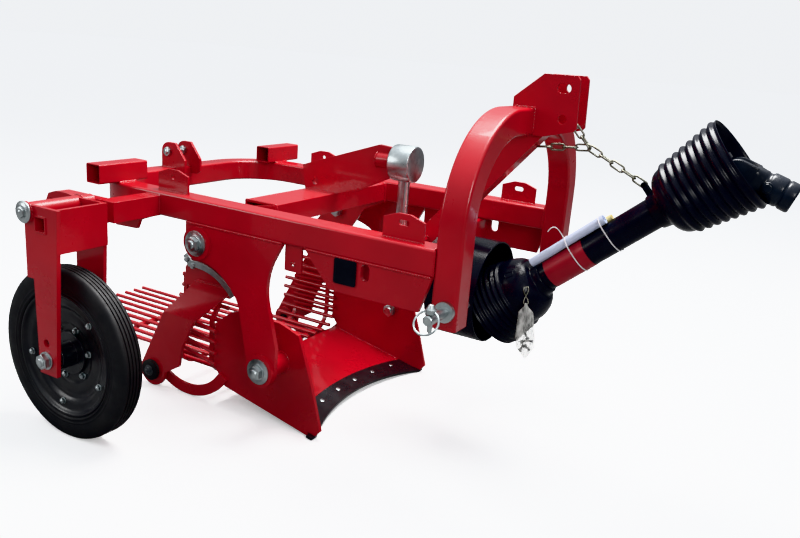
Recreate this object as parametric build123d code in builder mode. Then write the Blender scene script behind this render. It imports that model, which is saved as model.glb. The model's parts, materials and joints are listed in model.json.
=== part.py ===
from build123d import *
from math import cos, radians, sin, tan
import os

os.makedirs("parts", exist_ok=True)

# A mounted, shaft-driven potato digger with one support wheel.
# Millimetres, +X towards the tractor, +Y to the machine's left, +Z up.
# The origin is on the floor, on the middle plane, under the front face of the hitch arch.

# Main frame of square tube
tube_side = 60.0
tube_wall = 4.0
tube_corner = 7.0
rail_bottom = 500.0
rail_top = rail_bottom + tube_side
frame_half = 350.0
bow_start = -930.0
bow_rear = -1130.0
bow_radius = 160.0

# Hitch arch
arch_half = frame_half - 5.0
arch_foot = 395.0
arch_top = 840.0
arch_radius = 210.0
arch_rear = -tube_side

# Front cross tube, side panels and leg plates under the beams
cross_x = -270.0
plug_cap = 4.0
plug_fit = 0.3
panel_gauge = 10.0
leg_gauge = 12.0
swing_x, swing_z = -700.0, 454.0
pan_x, pan_z = -496.0, 176.0
boss_radius = 41.0
boss_height = 8.0
slot_width, slot_length = 22.0, 38.0
slot_x, slot_z = -220.0, 478.0

# Pivot bolts, with their washers and hexagon heads
bolt_radius = 12.0
washer_radius = 32.0
washer_gauge = 5.0
head_flats = 36.0
head_height = 14.0
turning_gap = 0.3

# Hitch: top-link plates, brace and lower pins
mast_gap = 54.0
mast_gauge = 8.0
top_slot_x, top_slot_up = 60.0, 48.0
top_slot_z = arch_top + top_slot_up
top_hole_radius = 10.0
top_slot_length = 32.0
brace_depth = 45.0
brace_angle = 49.2
brace_x, brace_z = 21.8, arch_top - 60
pin_x, pin_z = -25.0, 436.0
pin_radius = 11.0
pin_reach = 80.0
collar_radius = 22.0
collar_gauge = 10.0
linch_radius = 5.5
ring_radius = 26.0
ring_wire = 2.5

# Tabs and socket stubs on top of the frame
tab_length = 100.0
tab_height = 55.0
tab_gauge = 6.0
tab_shoulder = 43.0
tab_crown = 32.0
tab_front_x, tab_rear_x = -150.0, -811.0
tab_hole_up = 36.0
stub_side = 50.0
stub_wall = 3.0
stub_x = -1004.0
stub_outer, stub_inner = 404.0, 250.0

# Straps that hang from the beams, for the spare sieve stay
strap_x, strap_width, strap_drop = -421.0, 48.0, 64.0
strap_gauge = 6.0
strap_hole = 7.0
strap_hole_z = 455.0

# Lugs on the rear bow
lug_gauge = 8.0
lug_right_y, lug_left_y = -57.0, 4.0
lug_x, lug_eye_z = -1098.0, 605.0
lug_eye_radius = 10.0
lug_nose = 27.0
lug_tip_x, lug_foot_z = -1033.0, 540.0

# Input shaft, its bearing housing and the open guard can
drive_z = 390.0
drive_radius = 20.0
housing_radius = 46.0
housing_rear, housing_front = -300.0, -196.0
can_front, can_rear = -62.0, -190.0
can_radius = 125.0
can_wall = 4.0
throw = 4.0
journal_radius = 28.0

# Connecting rod
head_x, head_z = -337.0, 668.0
head_radius = 46.0
head_length = 60.0
rod_radius = 6.0
big_end_radius = 48.0
big_end_length = 44.0
head_pin_radius = 15.0
running_fit = 0.05
end_gap = 5.0

# Rocker: two side plates with folded arms, a cross box and the crank arm
rocker_outer = 260.0
rocker_gauge = 8.0
rocker_rear_x, rocker_front_x = -640.0, -540.0
rocker_arm_gauge = 14.0
arm_hole_radius = 10.0
arm_fold_z = 222.0
arm_seat_z = 296.0
arm_top_z = 326.0
arm_reach = 400.0
arm_outer = 300.0
arm_gauge = 10.0
foot_x, foot_z = -914.0, 48.0
foot_radius = 46.0
foot_bolt_radius = 10.0
foot_disc_radius = 29.0
foot_disc_gauge = 12.0
swing_bush_radius = 30.0

# Share and sieve, which rock together as one pan
share_half = 275.0
share_gauge = 10.0
share_tip_x = -382.0
share_angle = 11.6
blade_depth = 77.0
blade_hollow, blade_back = 60.0, 42.0
blade_lip, blade_horn = 18.0, 12.0
blade_gauge = 8.0
floor_gauge = 6.0
floor_end = 325.0
pan_bush_radius = 28.0
keel_gauge = 8.0
keel_depth = 30.0
keel_eye_radius, keel_hole_radius = 36.0, 15.0
keel_x, keel_low = -800.0, 1.0
sieve_half, neck_half = 266.0, 240.0
sieve_bottom = 60.0
sieve_corner = 60.0
waist_z, neck_z = 225.0, 262.0
sieve_top = 325.0
hoop_gauge = 8.0
hoop_width = 12.0
front_hoop_x, rear_hoop_x = -733.0, -852.0
bend_radius = 20.0
sieve_rod_radius = 6.0
rod_bite = 5.3
rod_pitch = 37.0
long_rods = 8
long_rod_end, short_rod_end = -1422.0, -1150.0
spreader_x = -1170.0
flare_radius = 5.0
flare_inner, flare_outer = 254.0, 283.0
flare_drop = 8.0

# Guard strips on the rocker sides
strip_gauge = 5.0
strip_width = 17.0
strip_bolt_radius = 4.0

# Support wheel and its fork
wheel_x, wheel_y = -850.0, -600.0
wheel_radius = 207.0
tyre_width = 62.0
tyre_depth = 57.0
tyre_inner = wheel_radius - tyre_depth
disc_gauge = 4.0
hub_radius = 30.0
hub_half = 50.0
axle_radius = 10.0
fork_half = 68.0
fork_gauge = 10.0
fork_top = 560.0
fork_plate_depth = 98.0
leg_below = 35.0
leg_hole_radius = 9.0
fork_bush_x, fork_bush_z = -896.0, 543.0
fork_bush_radius = 20.0
fork_bush_end = 674.0
fork_washer_radius = 25.0
small_flats = 19.0
small_head = 8.0
socket_side, socket_wall = 38.0, 4.0
axle_head_height = 22.0
hub_flange_radius = 52.0
hub_flange_gauge = 6.0
wheel_bar_x = -855.0
arm_offset, arm_side = 490.0, 50.0
arm_tail_x, arm_tail_depth = -1050.0, 46.0
bracket_gauge = 10.0

# Drive shaft with its guards, held up by the chain
joint_x = -15.0
joint_ball = 32.0
shaft_angle = 40.5
shaft_radius = 18.0
guard_radius = 35.0
guard_wall = 3.0
tube_start, tube_end = 105.0, 395.0
collar_start = 92.0
dome_start, dome_radius = 32.0, 79.0
skirt_start, skirt_end = 24.0, -60.0
skirt_radius = 98.0
outer_joint = 573.0
mouth_at = 596.0
mouth_radius = 100.0
yoke_droop = -20.0
hub_outer = 26.0
ear_gap = 18.0
ear_gauge, ear_width = 16.0, 54.0
fork_ear_gauge, fork_ear_width = 12.0, 22.0
ear_root, ear_nose = 46.0, 12.0
cap_radius = 13.0

# Support chain from the top-link plates to the guard
link_length, link_width = 39.0, 18.0
link_wire = 4.6
link_gap = 0.2
chain_bar_x, chain_bar_z = 86.0, top_slot_z - 82
chain_bar_radius = 4.0
eye_gauge = 3.0
eye_width = 12.0


def hollow_square(side, wall, corner):
    RectangleRounded(side, side, corner)
    RectangleRounded(side - 2 * wall, side - 2 * wall, corner - wall, mode=Mode.SUBTRACT)


# The points of an outline, each given across and up from the outline's own datum
def placed(x, z, offsets):
    return [(x + across, z + up) for across, up in offsets]


def save(piece, name):
    piece.label = name
    export_step(piece, f"parts/{name}.step")


# Beams
with BuildPart() as beam_right:
    with BuildSketch(Plane.YZ.offset(bow_start)):
        with Locations((tube_side / 2 - frame_half, rail_bottom + tube_side / 2)):
            hollow_square(tube_side, tube_wall, tube_corner)
    extrude(amount=arch_rear - bow_start)
save(beam_right.part, "beam_right")

with BuildPart() as beam_left:
    mirror(beam_right.part, about=Plane.XZ)
save(beam_left.part, "beam_left")

# Rear bow
rail_middle = frame_half - tube_side / 2
bow_middle = bow_rear + tube_side / 2
with BuildPart() as rear_bow:
    with BuildLine():
        bow_path = FilletPolyline(
            (bow_start, -rail_middle, rail_bottom + tube_side / 2),
            (bow_middle, -rail_middle, rail_bottom + tube_side / 2),
            (bow_middle, rail_middle, rail_bottom + tube_side / 2),
            (bow_start, rail_middle, rail_bottom + tube_side / 2),
            radius=bow_radius,
        )
    with BuildSketch(Plane(origin=bow_path @ 0, x_dir=(0, 1, 0), z_dir=bow_path % 0)):
        hollow_square(tube_side, tube_wall, tube_corner)
    sweep(path=bow_path)
save(rear_bow.part, "rear_bow")

# Hitch arch, bored for the lower pins
leg_middle = arch_half - tube_side / 2
with BuildPart() as hitch_arch:
    with BuildLine():
        arch_path = FilletPolyline(
            (-tube_side / 2, -leg_middle, arch_foot),
            (-tube_side / 2, -leg_middle, arch_top - tube_side / 2),
            (-tube_side / 2, leg_middle, arch_top - tube_side / 2),
            (-tube_side / 2, leg_middle, arch_foot),
            radius=arch_radius,
        )
    with BuildSketch(Plane(origin=arch_path @ 0, x_dir=(1, 0, 0), z_dir=arch_path % 0)):
        hollow_square(tube_side, tube_wall, tube_corner)
    sweep(path=arch_path)
    with BuildSketch(Plane.XZ.offset(-frame_half)):
        with Locations((pin_x, pin_z)):
            Circle(pin_radius)
    extrude(amount=2 * frame_half, mode=Mode.SUBTRACT)
save(hitch_arch.part, "hitch_arch")

# Front cross tube and its end plugs
with BuildPart() as front_cross_tube:
    with BuildSketch(Plane.XZ.offset(-frame_half)):
        with Locations((cross_x, rail_bottom - tube_side / 2)):
            hollow_square(tube_side, tube_wall, tube_corner)
    extrude(amount=2 * frame_half)
save(front_cross_tube.part, "front_cross_tube")

plug_side = tube_side - 2 * tube_wall - 2 * plug_fit
with BuildPart() as cross_tube_plugs:
    with BuildSketch(Plane.XZ.offset(frame_half - 2 * tube_side / 3)):
        with Locations((cross_x, rail_bottom - tube_side / 2)):
            RectangleRounded(plug_side, plug_side, tube_corner - tube_wall)
    extrude(amount=2 * tube_side / 3)
    with BuildSketch(Plane.XZ.offset(frame_half)):
        with Locations((cross_x, rail_bottom - tube_side / 2)):
            RectangleRounded(tube_side - 2, tube_side - 2, tube_corner - 1)
    extrude(amount=plug_cap)
    mirror(about=Plane.XZ)
save(cross_tube_plugs.part, "cross_tube_plugs")

# Side panels, pierced by the cross tube
panel_points = placed(cross_x, rail_bottom, ((-111, 0), (-40, -79), (185, -79), (arch_rear - cross_x, 0)))
with BuildPart() as side_panel_right:
    with BuildSketch(Plane.XZ.offset(frame_half - panel_gauge)):
        with BuildLine():
            Polyline(*panel_points, close=True)
        make_face()
        with Locations((cross_x, rail_bottom - tube_side / 2)):
            RectangleRounded(tube_side, tube_side, tube_corner, mode=Mode.SUBTRACT)
        with Locations((slot_x, slot_z)):
            SlotOverall(slot_length, slot_width, rotation=90, mode=Mode.SUBTRACT)
    extrude(amount=panel_gauge)
save(side_panel_right.part, "side_panel_right")

with BuildPart() as side_panel_left:
    mirror(side_panel_right.part, about=Plane.XZ)
save(side_panel_left.part, "side_panel_left")

# Leg plates, which carry the rocker at the upper bolt and the pan at the lower one
with BuildPart() as leg_plate_right:
    with BuildSketch(Plane.XZ.offset(frame_half - leg_gauge)):
        with BuildLine():
            Polyline(
                (-443, rail_bottom),
                (swing_x - boss_radius, rail_bottom),
                (swing_x - boss_radius, swing_z),
                (swing_x, swing_z - boss_radius),
            )
            ThreePointArc((swing_x, swing_z - boss_radius), (-609, 374), (-569, 322))
            Polyline((-569, 322), (pan_x - boss_radius, pan_z), (pan_x + boss_radius, pan_z), (-453, 239), (-475, 323))
            ThreePointArc((-475, 323), (-485, 385), (-463, 463))
            Line((-463, 463), (-443, rail_bottom))
        make_face()
        with Locations((swing_x, swing_z), (pan_x, pan_z)):
            Circle(boss_radius)
    extrude(amount=leg_gauge)
    with BuildSketch(Plane.XZ.offset(frame_half)):
        with Locations((swing_x, swing_z), (pan_x, pan_z)):
            Circle(boss_radius)
    extrude(amount=boss_height)
    with BuildSketch(Plane.XZ.offset(frame_half - leg_gauge)):
        with Locations((swing_x, swing_z), (pan_x, pan_z)):
            Circle(bolt_radius)
    extrude(amount=leg_gauge + boss_height, mode=Mode.SUBTRACT)
save(leg_plate_right.part, "leg_plate_right")

with BuildPart() as leg_plate_left:
    mirror(leg_plate_right.part, about=Plane.XZ)
save(leg_plate_left.part, "leg_plate_left")

# Pivot bolts: a washer and a hexagon head outside, a shank through the bushes and a nut inside
leg_face = frame_half + boss_height
rocker_inner = rocker_outer - rocker_gauge
share_inner = share_half - share_gauge
with BuildPart() as pivot_bolts_right:
    for x, z, shank_end in ((swing_x, swing_z, rocker_inner), (pan_x, pan_z, share_inner)):
        with BuildSketch(Plane.XZ.offset(shank_end - end_gap)):
            with Locations((x, z)):
                Circle(bolt_radius)
        extrude(amount=leg_face - shank_end + end_gap)
        with BuildSketch(Plane.XZ.offset(leg_face)):
            with Locations((x, z)):
                Circle(washer_radius)
        extrude(amount=washer_gauge)
        with BuildSketch(Plane.XZ.offset(leg_face + washer_gauge)):
            with Locations((x, z)):
                RegularPolygon(head_flats / 2, 6, major_radius=False)
        extrude(amount=head_height)
        with BuildSketch(Plane.XZ.offset(shank_end - end_gap - head_height)):
            with Locations((x, z)):
                RegularPolygon(head_flats / 2, 6, major_radius=False)
        extrude(amount=head_height)
save(pivot_bolts_right.part, "pivot_bolts_right")

with BuildPart() as pivot_bolts_left:
    mirror(pivot_bolts_right.part, about=Plane.XZ)
save(pivot_bolts_left.part, "pivot_bolts_left")

# Tabs with sloping shoulders, upright on the beams: a slot in the front one, a hole in the rear one
with BuildPart() as beam_tabs:
    for x in (tab_front_x, tab_rear_x):
        with BuildSketch(Plane.XZ.offset(rail_middle - tab_gauge / 2)):
            with BuildLine():
                Polyline(
                    (x - tab_length / 2, rail_top),
                    (x - tab_length / 2, rail_top + tab_shoulder),
                    (x - tab_crown / 2, rail_top + tab_height),
                    (x + tab_crown / 2, rail_top + tab_height),
                    (x + tab_length / 2, rail_top + tab_shoulder),
                    (x + tab_length / 2, rail_top),
                    close=True,
                )
            make_face()
        extrude(amount=tab_gauge)
    with BuildSketch(Plane.XZ.offset(rail_middle - tab_gauge / 2)):
        with Locations((tab_front_x, rail_top + tab_hole_up)):
            SlotOverall(26, 12)
        with Locations((tab_rear_x, rail_top + tab_hole_up)):
            Circle(6)
    extrude(amount=tab_gauge, mode=Mode.SUBTRACT)
    mirror(about=Plane.XZ)
save(beam_tabs.part, "beam_tabs")

# Socket stubs across the rear bow
with BuildPart() as socket_stubs:
    with BuildSketch(Plane.XZ.offset(stub_inner)):
        with Locations((stub_x, rail_top + stub_side / 2)):
            hollow_square(stub_side, stub_wall, stub_wall + 1.5)
    extrude(amount=stub_outer - stub_inner)
    mirror(about=Plane.XZ)
save(socket_stubs.part, "socket_stubs")

# Top-link plates, notched over the arch
mast_points = (
    (arch_rear + 6, arch_top),
    (arch_rear + 6, arch_top + 21),
    (top_slot_x - 48, top_slot_z + 28),
    (top_slot_x + 27, top_slot_z + 29),
    (top_slot_x + 34, top_slot_z + 21),
    (top_slot_x + 38, top_slot_z - 84),
    (top_slot_x + 33, top_slot_z - 90),
    (24, brace_z),
    (0, brace_z),
    (0, arch_top),
)
with BuildPart() as mast_plates:
    with BuildSketch(Plane.XZ.offset(mast_gap / 2)):
        with BuildLine():
            Polyline(*mast_points, close=True)
        make_face()
        with Locations((top_slot_x, top_slot_z)):
            SlotOverall(top_slot_length, 2 * top_hole_radius, mode=Mode.SUBTRACT)
        with Locations((top_slot_x + 4, top_slot_z - 66)):
            Circle(top_hole_radius, mode=Mode.SUBTRACT)
    extrude(amount=mast_gauge)
    mirror(about=Plane.XZ)
save(mast_plates.part, "mast_plates")

# Brace from under the arch down to the front cross tube
brace_slope = tan(radians(brace_angle))
brace_run = brace_depth / sin(radians(brace_angle))
cross_front = cross_x + tube_side / 2
landing_x = brace_x - (brace_z - rail_bottom) / brace_slope
front_z = brace_z - (brace_x - cross_front) * brace_slope
with BuildPart() as mast_brace:
    with BuildSketch(Plane.XZ.offset(-mast_gap / 2)):
        with BuildLine():
            Polyline(
                (brace_x, brace_z),
                (brace_x - brace_run, brace_z),
                (landing_x - brace_run, rail_bottom),
                (cross_front, rail_bottom),
                (cross_front, front_z),
                close=True,
            )
        make_face()
    extrude(amount=mast_gap)
save(mast_brace.part, "mast_brace")

# Lower hitch pins through the arch legs, with collars, and their linch pins
pin_outer = arch_half + pin_reach
linch_y = pin_outer - 14.0
with BuildPart() as lower_pins:
    with BuildSketch(Plane.XZ.offset(arch_half - tube_side - head_height)):
        with Locations((pin_x, pin_z)):
            Circle(pin_radius)
    extrude(amount=pin_outer - arch_half + tube_side + head_height)
    chamfer(faces().sort_by(Axis.Y)[0].edges(), 2)
    with BuildSketch(Plane.XZ.offset(arch_half)):
        with Locations((pin_x, pin_z)):
            Circle(collar_radius)
    extrude(amount=collar_gauge)
    with BuildSketch(Plane.XZ.offset(arch_half - tube_side - head_height)):
        with Locations((pin_x, pin_z)):
            RegularPolygon(head_flats / 2, 6, major_radius=False)
    extrude(amount=head_height)
    with BuildSketch(Plane.XY.offset(pin_z - 2 * pin_radius)):
        with Locations((pin_x, -linch_y)):
            Circle(linch_radius + turning_gap)
    extrude(amount=4 * pin_radius, mode=Mode.SUBTRACT)
    mirror(about=Plane.XZ)
save(lower_pins.part, "lower_pins")

with BuildPart() as linch_pins:
    with BuildSketch(Plane.XY.offset(pin_z - 28)):
        with Locations((pin_x, -linch_y)):
            Circle(linch_radius)
    extrude(amount=60)
    with BuildSketch(Plane.XY.offset(pin_z + pin_radius + 1)):
        with Locations((pin_x, -linch_y)):
            Circle(2 * linch_radius)
    extrude(amount=12)
    with BuildSketch(Plane.XZ.offset(linch_y + ring_radius)):
        with Locations((pin_x + ring_radius, pin_z + pin_radius + 7)):
            Circle(ring_wire)
    revolve(axis=Axis((pin_x, -linch_y - ring_radius, 0), (0, 0, 1)))
    mirror(about=Plane.XZ)
save(linch_pins.part, "linch_pins")

# Straps under the beams
with BuildPart() as beam_straps:
    with BuildSketch(Plane.XZ.offset(frame_half - leg_gauge - strap_gauge)):
        with Locations((strap_x, rail_bottom - strap_drop / 2)):
            Rectangle(strap_width, strap_drop)
        with Locations((strap_x, strap_hole_z)):
            Circle(strap_hole, mode=Mode.SUBTRACT)
    extrude(amount=strap_gauge)
    mirror(about=Plane.XZ)
save(beam_straps.part, "beam_straps")

# Bearing housing under the cross tube, with a flange for the can
with BuildPart() as bearing_housing:
    with BuildSketch(Plane.YZ.offset(housing_rear)):
        with Locations((0, drive_z)):
            Circle(housing_radius)
    extrude(amount=housing_front - housing_rear)
    with BuildSketch(Plane.YZ.offset(housing_front)):
        with Locations((0, drive_z)):
            Circle(1.4 * housing_radius)
    extrude(amount=can_rear - housing_front)
    with BuildSketch(Plane.XY.offset(drive_z)):
        with Locations((cross_x, 0)):
            Rectangle(tube_side, 1.6 * housing_radius)
    extrude(amount=rail_bottom - tube_side - drive_z)
    with BuildSketch(Plane.YZ.offset(housing_rear)):
        with Locations((0, drive_z)):
            Circle(drive_radius + running_fit)
    extrude(amount=can_rear - housing_rear, mode=Mode.SUBTRACT)
save(bearing_housing.part, "bearing_housing")

# Open guard can round the input shaft
with BuildPart() as guard_can:
    with BuildSketch(Plane.YZ.offset(can_rear)):
        with Locations((0, drive_z)):
            Circle(can_radius)
    extrude(amount=can_front - can_rear)
    with BuildSketch(Plane.YZ.offset(can_rear + can_wall)):
        with Locations((0, drive_z)):
            Circle(can_radius - can_wall)
    extrude(amount=can_front - can_rear - can_wall, mode=Mode.SUBTRACT)
    with BuildSketch(Plane.YZ.offset(can_rear)):
        with Locations((0, drive_z)):
            Circle(housing_radius)
    extrude(amount=can_wall, mode=Mode.SUBTRACT)
save(guard_can.part, "guard_can")

# Input shaft with its eccentric
with BuildPart() as input_shaft:
    with BuildSketch(Plane.YZ.offset(head_x - big_end_length / 2)):
        with Locations((throw, drive_z)):
            Circle(journal_radius)
    extrude(amount=big_end_length)
    with BuildSketch(Plane.YZ.offset(head_x + big_end_length / 2)):
        with Locations((0, drive_z)):
            Circle(drive_radius)
    extrude(amount=joint_x - head_x - big_end_length / 2)
    with Locations((joint_x, 0, drive_z)):
        Sphere(joint_ball)
save(input_shaft.part, "input_shaft")

# Connecting rod: closed round head, rod and big end
with BuildPart() as connecting_rod:
    with BuildSketch(Plane.YZ.offset(head_x - head_length / 2)):
        with Locations((0, head_z)):
            Circle(head_radius)
    extrude(amount=head_length)
    with BuildSketch(Plane.XY.offset(drive_z)):
        with Locations((head_x, 0)):
            Circle(rod_radius)
    extrude(amount=head_z - drive_z)
    with BuildSketch(Plane.YZ.offset(head_x - big_end_length / 2)):
        with Locations((0, drive_z)):
            Circle(big_end_radius)
    extrude(amount=big_end_length)
    with BuildSketch(Plane.YZ.offset(head_x - big_end_length / 2)):
        with Locations((0, drive_z)):
            Circle(journal_radius + 2 * throw + 1)
    extrude(amount=big_end_length, mode=Mode.SUBTRACT)
    with BuildSketch(Plane.YZ.offset(head_x - head_length / 2)):
        with Locations((0, head_z)):
            Circle(head_pin_radius + running_fit)
    extrude(amount=head_length - 10, mode=Mode.SUBTRACT)
save(connecting_rod.part, "connecting_rod")

# Crank arm of the rocker: a plate on the cross box, with the head pin at its front
arm_front = head_x - head_length / 2 - end_gap
arm_root = ((rocker_front_x, rail_top), (rocker_rear_x, rail_top))
arm_points = (
    (rocker_rear_x - 11, rail_top + 64),
    (arm_front - 43, head_z + 38),
    (arm_front, head_z + 35),
    (arm_front, head_z - 40),
    (rocker_front_x + 70, rail_top + 19),
    *arm_root,
)
with BuildPart() as rocker_arm:
    with BuildSketch(Plane.XZ.offset(-rocker_arm_gauge / 2)):
        with BuildLine():
            Polyline(*arm_points, close=True)
        make_face()
        with Locations((rocker_rear_x + 32, rail_top + 25)):
            Circle(arm_hole_radius, mode=Mode.SUBTRACT)
    extrude(amount=rocker_arm_gauge)
    with BuildSketch(Plane.YZ.offset(arm_front - 45)):
        with Locations((0, head_z)):
            Circle(head_pin_radius + 5)
    extrude(amount=45)
    with BuildSketch(Plane.YZ.offset(arm_front)):
        with Locations((0, head_z)):
            Circle(head_pin_radius)
    extrude(amount=head_length - 10)
save(rocker_arm.part, "rocker_arm")

# Cross box between the rocker's side plates
with BuildPart() as rocker_cross:
    with BuildSketch(Plane.XZ.offset(-rocker_inner)):
        with Locations(((rocker_rear_x + rocker_front_x) / 2, rail_top - 25)):
            Rectangle(rocker_front_x - rocker_rear_x, 50)
            Rectangle(rocker_front_x - rocker_rear_x - 10, 40, mode=Mode.SUBTRACT)
    extrude(amount=2 * rocker_inner)
save(rocker_cross.part, "rocker_cross")

# Rocker side plate with its pivot bush and the folded arm below it
side_tail = placed(swing_x, swing_z, ((-132, -104), (-57, -14)))
side_back = placed(swing_x, swing_z, ((-57, -14), (10, 49), (100, 97)))
side_belly = placed(swing_x, swing_z, ((90, 16), (40, -59), (56, -136), (-132, -154)))
box_foot_z = rail_top - 55
with BuildPart() as rocker_side_right:
    with BuildSketch(Plane.XZ.offset(rocker_inner)):
        with BuildLine():
            Polyline(*side_tail)
            ThreePointArc(*side_back)
            Polyline(side_back[2], (rocker_front_x, rail_top), (rocker_front_x, box_foot_z), *side_belly, side_tail[0])
        make_face()
    extrude(amount=rocker_gauge)
    with BuildSketch(Plane.XZ.offset(rocker_outer)):
        with Locations((swing_x, swing_z)):
            Circle(swing_bush_radius)
    extrude(amount=frame_half - leg_gauge - end_gap - rocker_outer)
    with BuildSketch(Plane.XZ.offset(rocker_inner)):
        with Locations((swing_x, swing_z)):
            Circle(bolt_radius + running_fit)
    extrude(amount=frame_half - rocker_inner, mode=Mode.SUBTRACT)
save(rocker_side_right.part, "rocker_side_right")

with BuildPart() as rocker_side_left:
    mirror(rocker_side_right.part, about=Plane.XZ)
save(rocker_side_left.part, "rocker_side_left")

# Folded arm: an upright strap, bent inwards above the fold to meet the side plate
arm_middle = arm_outer - arm_gauge / 2
with BuildPart() as folded_arm_right:
    with BuildSketch(Plane.YZ.offset(foot_x - foot_radius)):
        with BuildLine():
            Polyline(
                (-arm_middle, foot_z - foot_radius),
                (-arm_middle, arm_fold_z),
                (-rocker_outer - arm_gauge / 2, arm_seat_z),
                (-rocker_outer - arm_gauge / 2, arm_top_z),
            )
        trace(line_width=arm_gauge)
    extrude(amount=arm_reach)
    with BuildSketch(Plane.XZ.offset(rocker_outer)):
        with BuildLine():
            ThreePointArc(
                (foot_x - foot_radius, foot_z),
                (foot_x, foot_z - foot_radius),
                (foot_x + foot_radius, foot_z),
            )
            Polyline(
                (foot_x + foot_radius, foot_z),
                (-816, 80),
                (-805, 137),
                (-764, 218),
                (-660, arm_top_z - 4),
                (-790, arm_top_z - 4),
                (-870, 227),
                (-922, 124),
                (foot_x - foot_radius, foot_z),
            )
        make_face()
    extrude(amount=arm_outer - rocker_outer, mode=Mode.INTERSECT)
    with BuildSketch(Plane.XZ.offset(rocker_outer)):
        with Locations((foot_x, foot_z)):
            Circle(foot_bolt_radius)
    extrude(amount=arm_outer, mode=Mode.SUBTRACT)
save(folded_arm_right.part, "folded_arm_right")

with BuildPart() as folded_arm_left:
    mirror(folded_arm_right.part, about=Plane.XZ)
save(folded_arm_left.part, "folded_arm_left")

# Foot bolts with rubber discs
with BuildPart() as foot_bolts:
    with BuildSketch(Plane.XZ.offset(share_half - 4)):
        with Locations((foot_x, foot_z)):
            Circle(foot_bolt_radius)
    extrude(amount=arm_outer - share_half + 4)
    with BuildSketch(Plane.XZ.offset(arm_outer)):
        with Locations((foot_x, foot_z)):
            Circle(foot_disc_radius)
    extrude(amount=foot_disc_gauge)
    with BuildSketch(Plane.XZ.offset(arm_outer + foot_disc_gauge)):
        with Locations((foot_x, foot_z)):
            RegularPolygon(small_flats / 2, 6, major_radius=False)
    extrude(amount=small_head)
    mirror(about=Plane.XZ)
save(foot_bolts.part, "foot_bolts")

# Curved guard strips over the folded arms, each held by two bolts at its rear end
strip_face = rocker_outer + arm_gauge + turning_gap
strip_bolts = ((-812, 376), (-791, 362))
with BuildPart() as guard_strips:
    with BuildSketch(Plane.XZ.offset(strip_face)):
        with BuildLine():
            Line((-818, 389), (-802, 367))
            ThreePointArc((-802, 367), (-722, 357), (-654, 308))
        trace(line_width=strip_width)
        with Locations(strip_bolts[0], strip_bolts[1]):
            Circle(strip_width / 2)
    extrude(amount=strip_gauge)
    with BuildSketch(Plane.XZ.offset(rocker_outer)):
        with Locations(strip_bolts[0], strip_bolts[1]):
            Circle(strip_bolt_radius)
    extrude(amount=strip_face - rocker_outer)
    with BuildSketch(Plane.XZ.offset(strip_face + strip_gauge)):
        with Locations(strip_bolts[0], strip_bolts[1]):
            RegularPolygon(1.5 * strip_bolt_radius, 6, major_radius=False)
    extrude(amount=strip_bolt_radius)
    mirror(about=Plane.XZ)
save(guard_strips.part, "guard_strips")

# Share side plate with its pivot bush
share_points = (
    (share_tip_x + 2, 8.2),
    (-366, 24),
    (-399, 137),
    (-443, 257),
    (-502, 275),
    (-634, 274),
    (-658, 266),
    (-711, 224),
    (-713, 106),
    (-675, 57),
    (-402, 1.2),
    (-402, 12.7),
)
with BuildPart() as share_side_right:
    with BuildSketch(Plane.XZ.offset(share_inner)):
        with BuildLine():
            Polyline(*share_points, close=True)
        make_face()
    extrude(amount=share_gauge)
    with BuildSketch(Plane.XZ.offset(share_half)):
        with Locations((pan_x, pan_z)):
            Circle(pan_bush_radius)
    extrude(amount=frame_half - leg_gauge - end_gap - share_half)
    with BuildSketch(Plane.XZ.offset(share_inner)):
        with Locations((pan_x, pan_z)):
            Circle(bolt_radius + running_fit)
    extrude(amount=frame_half - share_inner, mode=Mode.SUBTRACT)
save(share_side_right.part, "share_side_right")

with BuildPart() as share_side_left:
    mirror(share_side_right.part, about=Plane.XZ)
save(share_side_left.part, "share_side_left")

# Floor and blade, on a plane that rises to the rear
share_plane = Plane(
    origin=(share_tip_x, 0, 0),
    x_dir=(-cos(radians(share_angle)), 0, sin(radians(share_angle))),
    z_dir=(sin(radians(share_angle)), 0, cos(radians(share_angle))),
)
with BuildPart() as share_blade:
    with BuildSketch(share_plane):
        with BuildLine():
            ThreePointArc((0, -share_inner), (blade_hollow, 0), (0, share_inner))
            Line((0, share_inner), (blade_depth, share_inner))
            ThreePointArc((blade_depth, share_inner), (blade_depth + blade_back, 0), (blade_depth, -share_inner))
            Line((blade_depth, -share_inner), (0, -share_inner))
        make_face()
        for side in (-1, 1):
            with Locations((blade_lip / 2, side * (share_half + blade_horn) / 2 + side * share_inner / 2)):
                Rectangle(blade_lip, share_half + blade_horn - share_inner)
    extrude(amount=blade_gauge)
save(share_blade.part, "share_blade")

with BuildPart() as share_floor:
    with BuildSketch(share_plane):
        with BuildLine():
            ThreePointArc((blade_depth, -share_inner), (blade_depth + blade_back, 0), (blade_depth, share_inner))
            Polyline(
                (blade_depth, share_inner),
                (floor_end, share_inner),
                (floor_end, -share_inner),
                (blade_depth, -share_inner),
            )
        make_face()
    extrude(amount=floor_gauge)
save(share_floor.part, "share_floor")

# Curved keel bars from the foot bolts to the share sides
with BuildPart() as keel_bars:
    with BuildSketch(Plane.XZ.offset(share_half)):
        with BuildLine():
            keel_front = (keel_x + 124, foot_z + 38)
            keel_line = ThreePointArc((foot_x + 30, foot_z - 8), (keel_x, keel_low + keel_depth / 2), keel_front)
        trace(line_width=keel_depth)
        with Locations((foot_x, foot_z)):
            Circle(keel_eye_radius)
        with Locations((foot_x, foot_z)):
            Circle(keel_hole_radius, mode=Mode.SUBTRACT)
    extrude(amount=keel_gauge)
    mirror(about=Plane.XZ)
save(keel_bars.part, "keel_bars")

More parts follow.
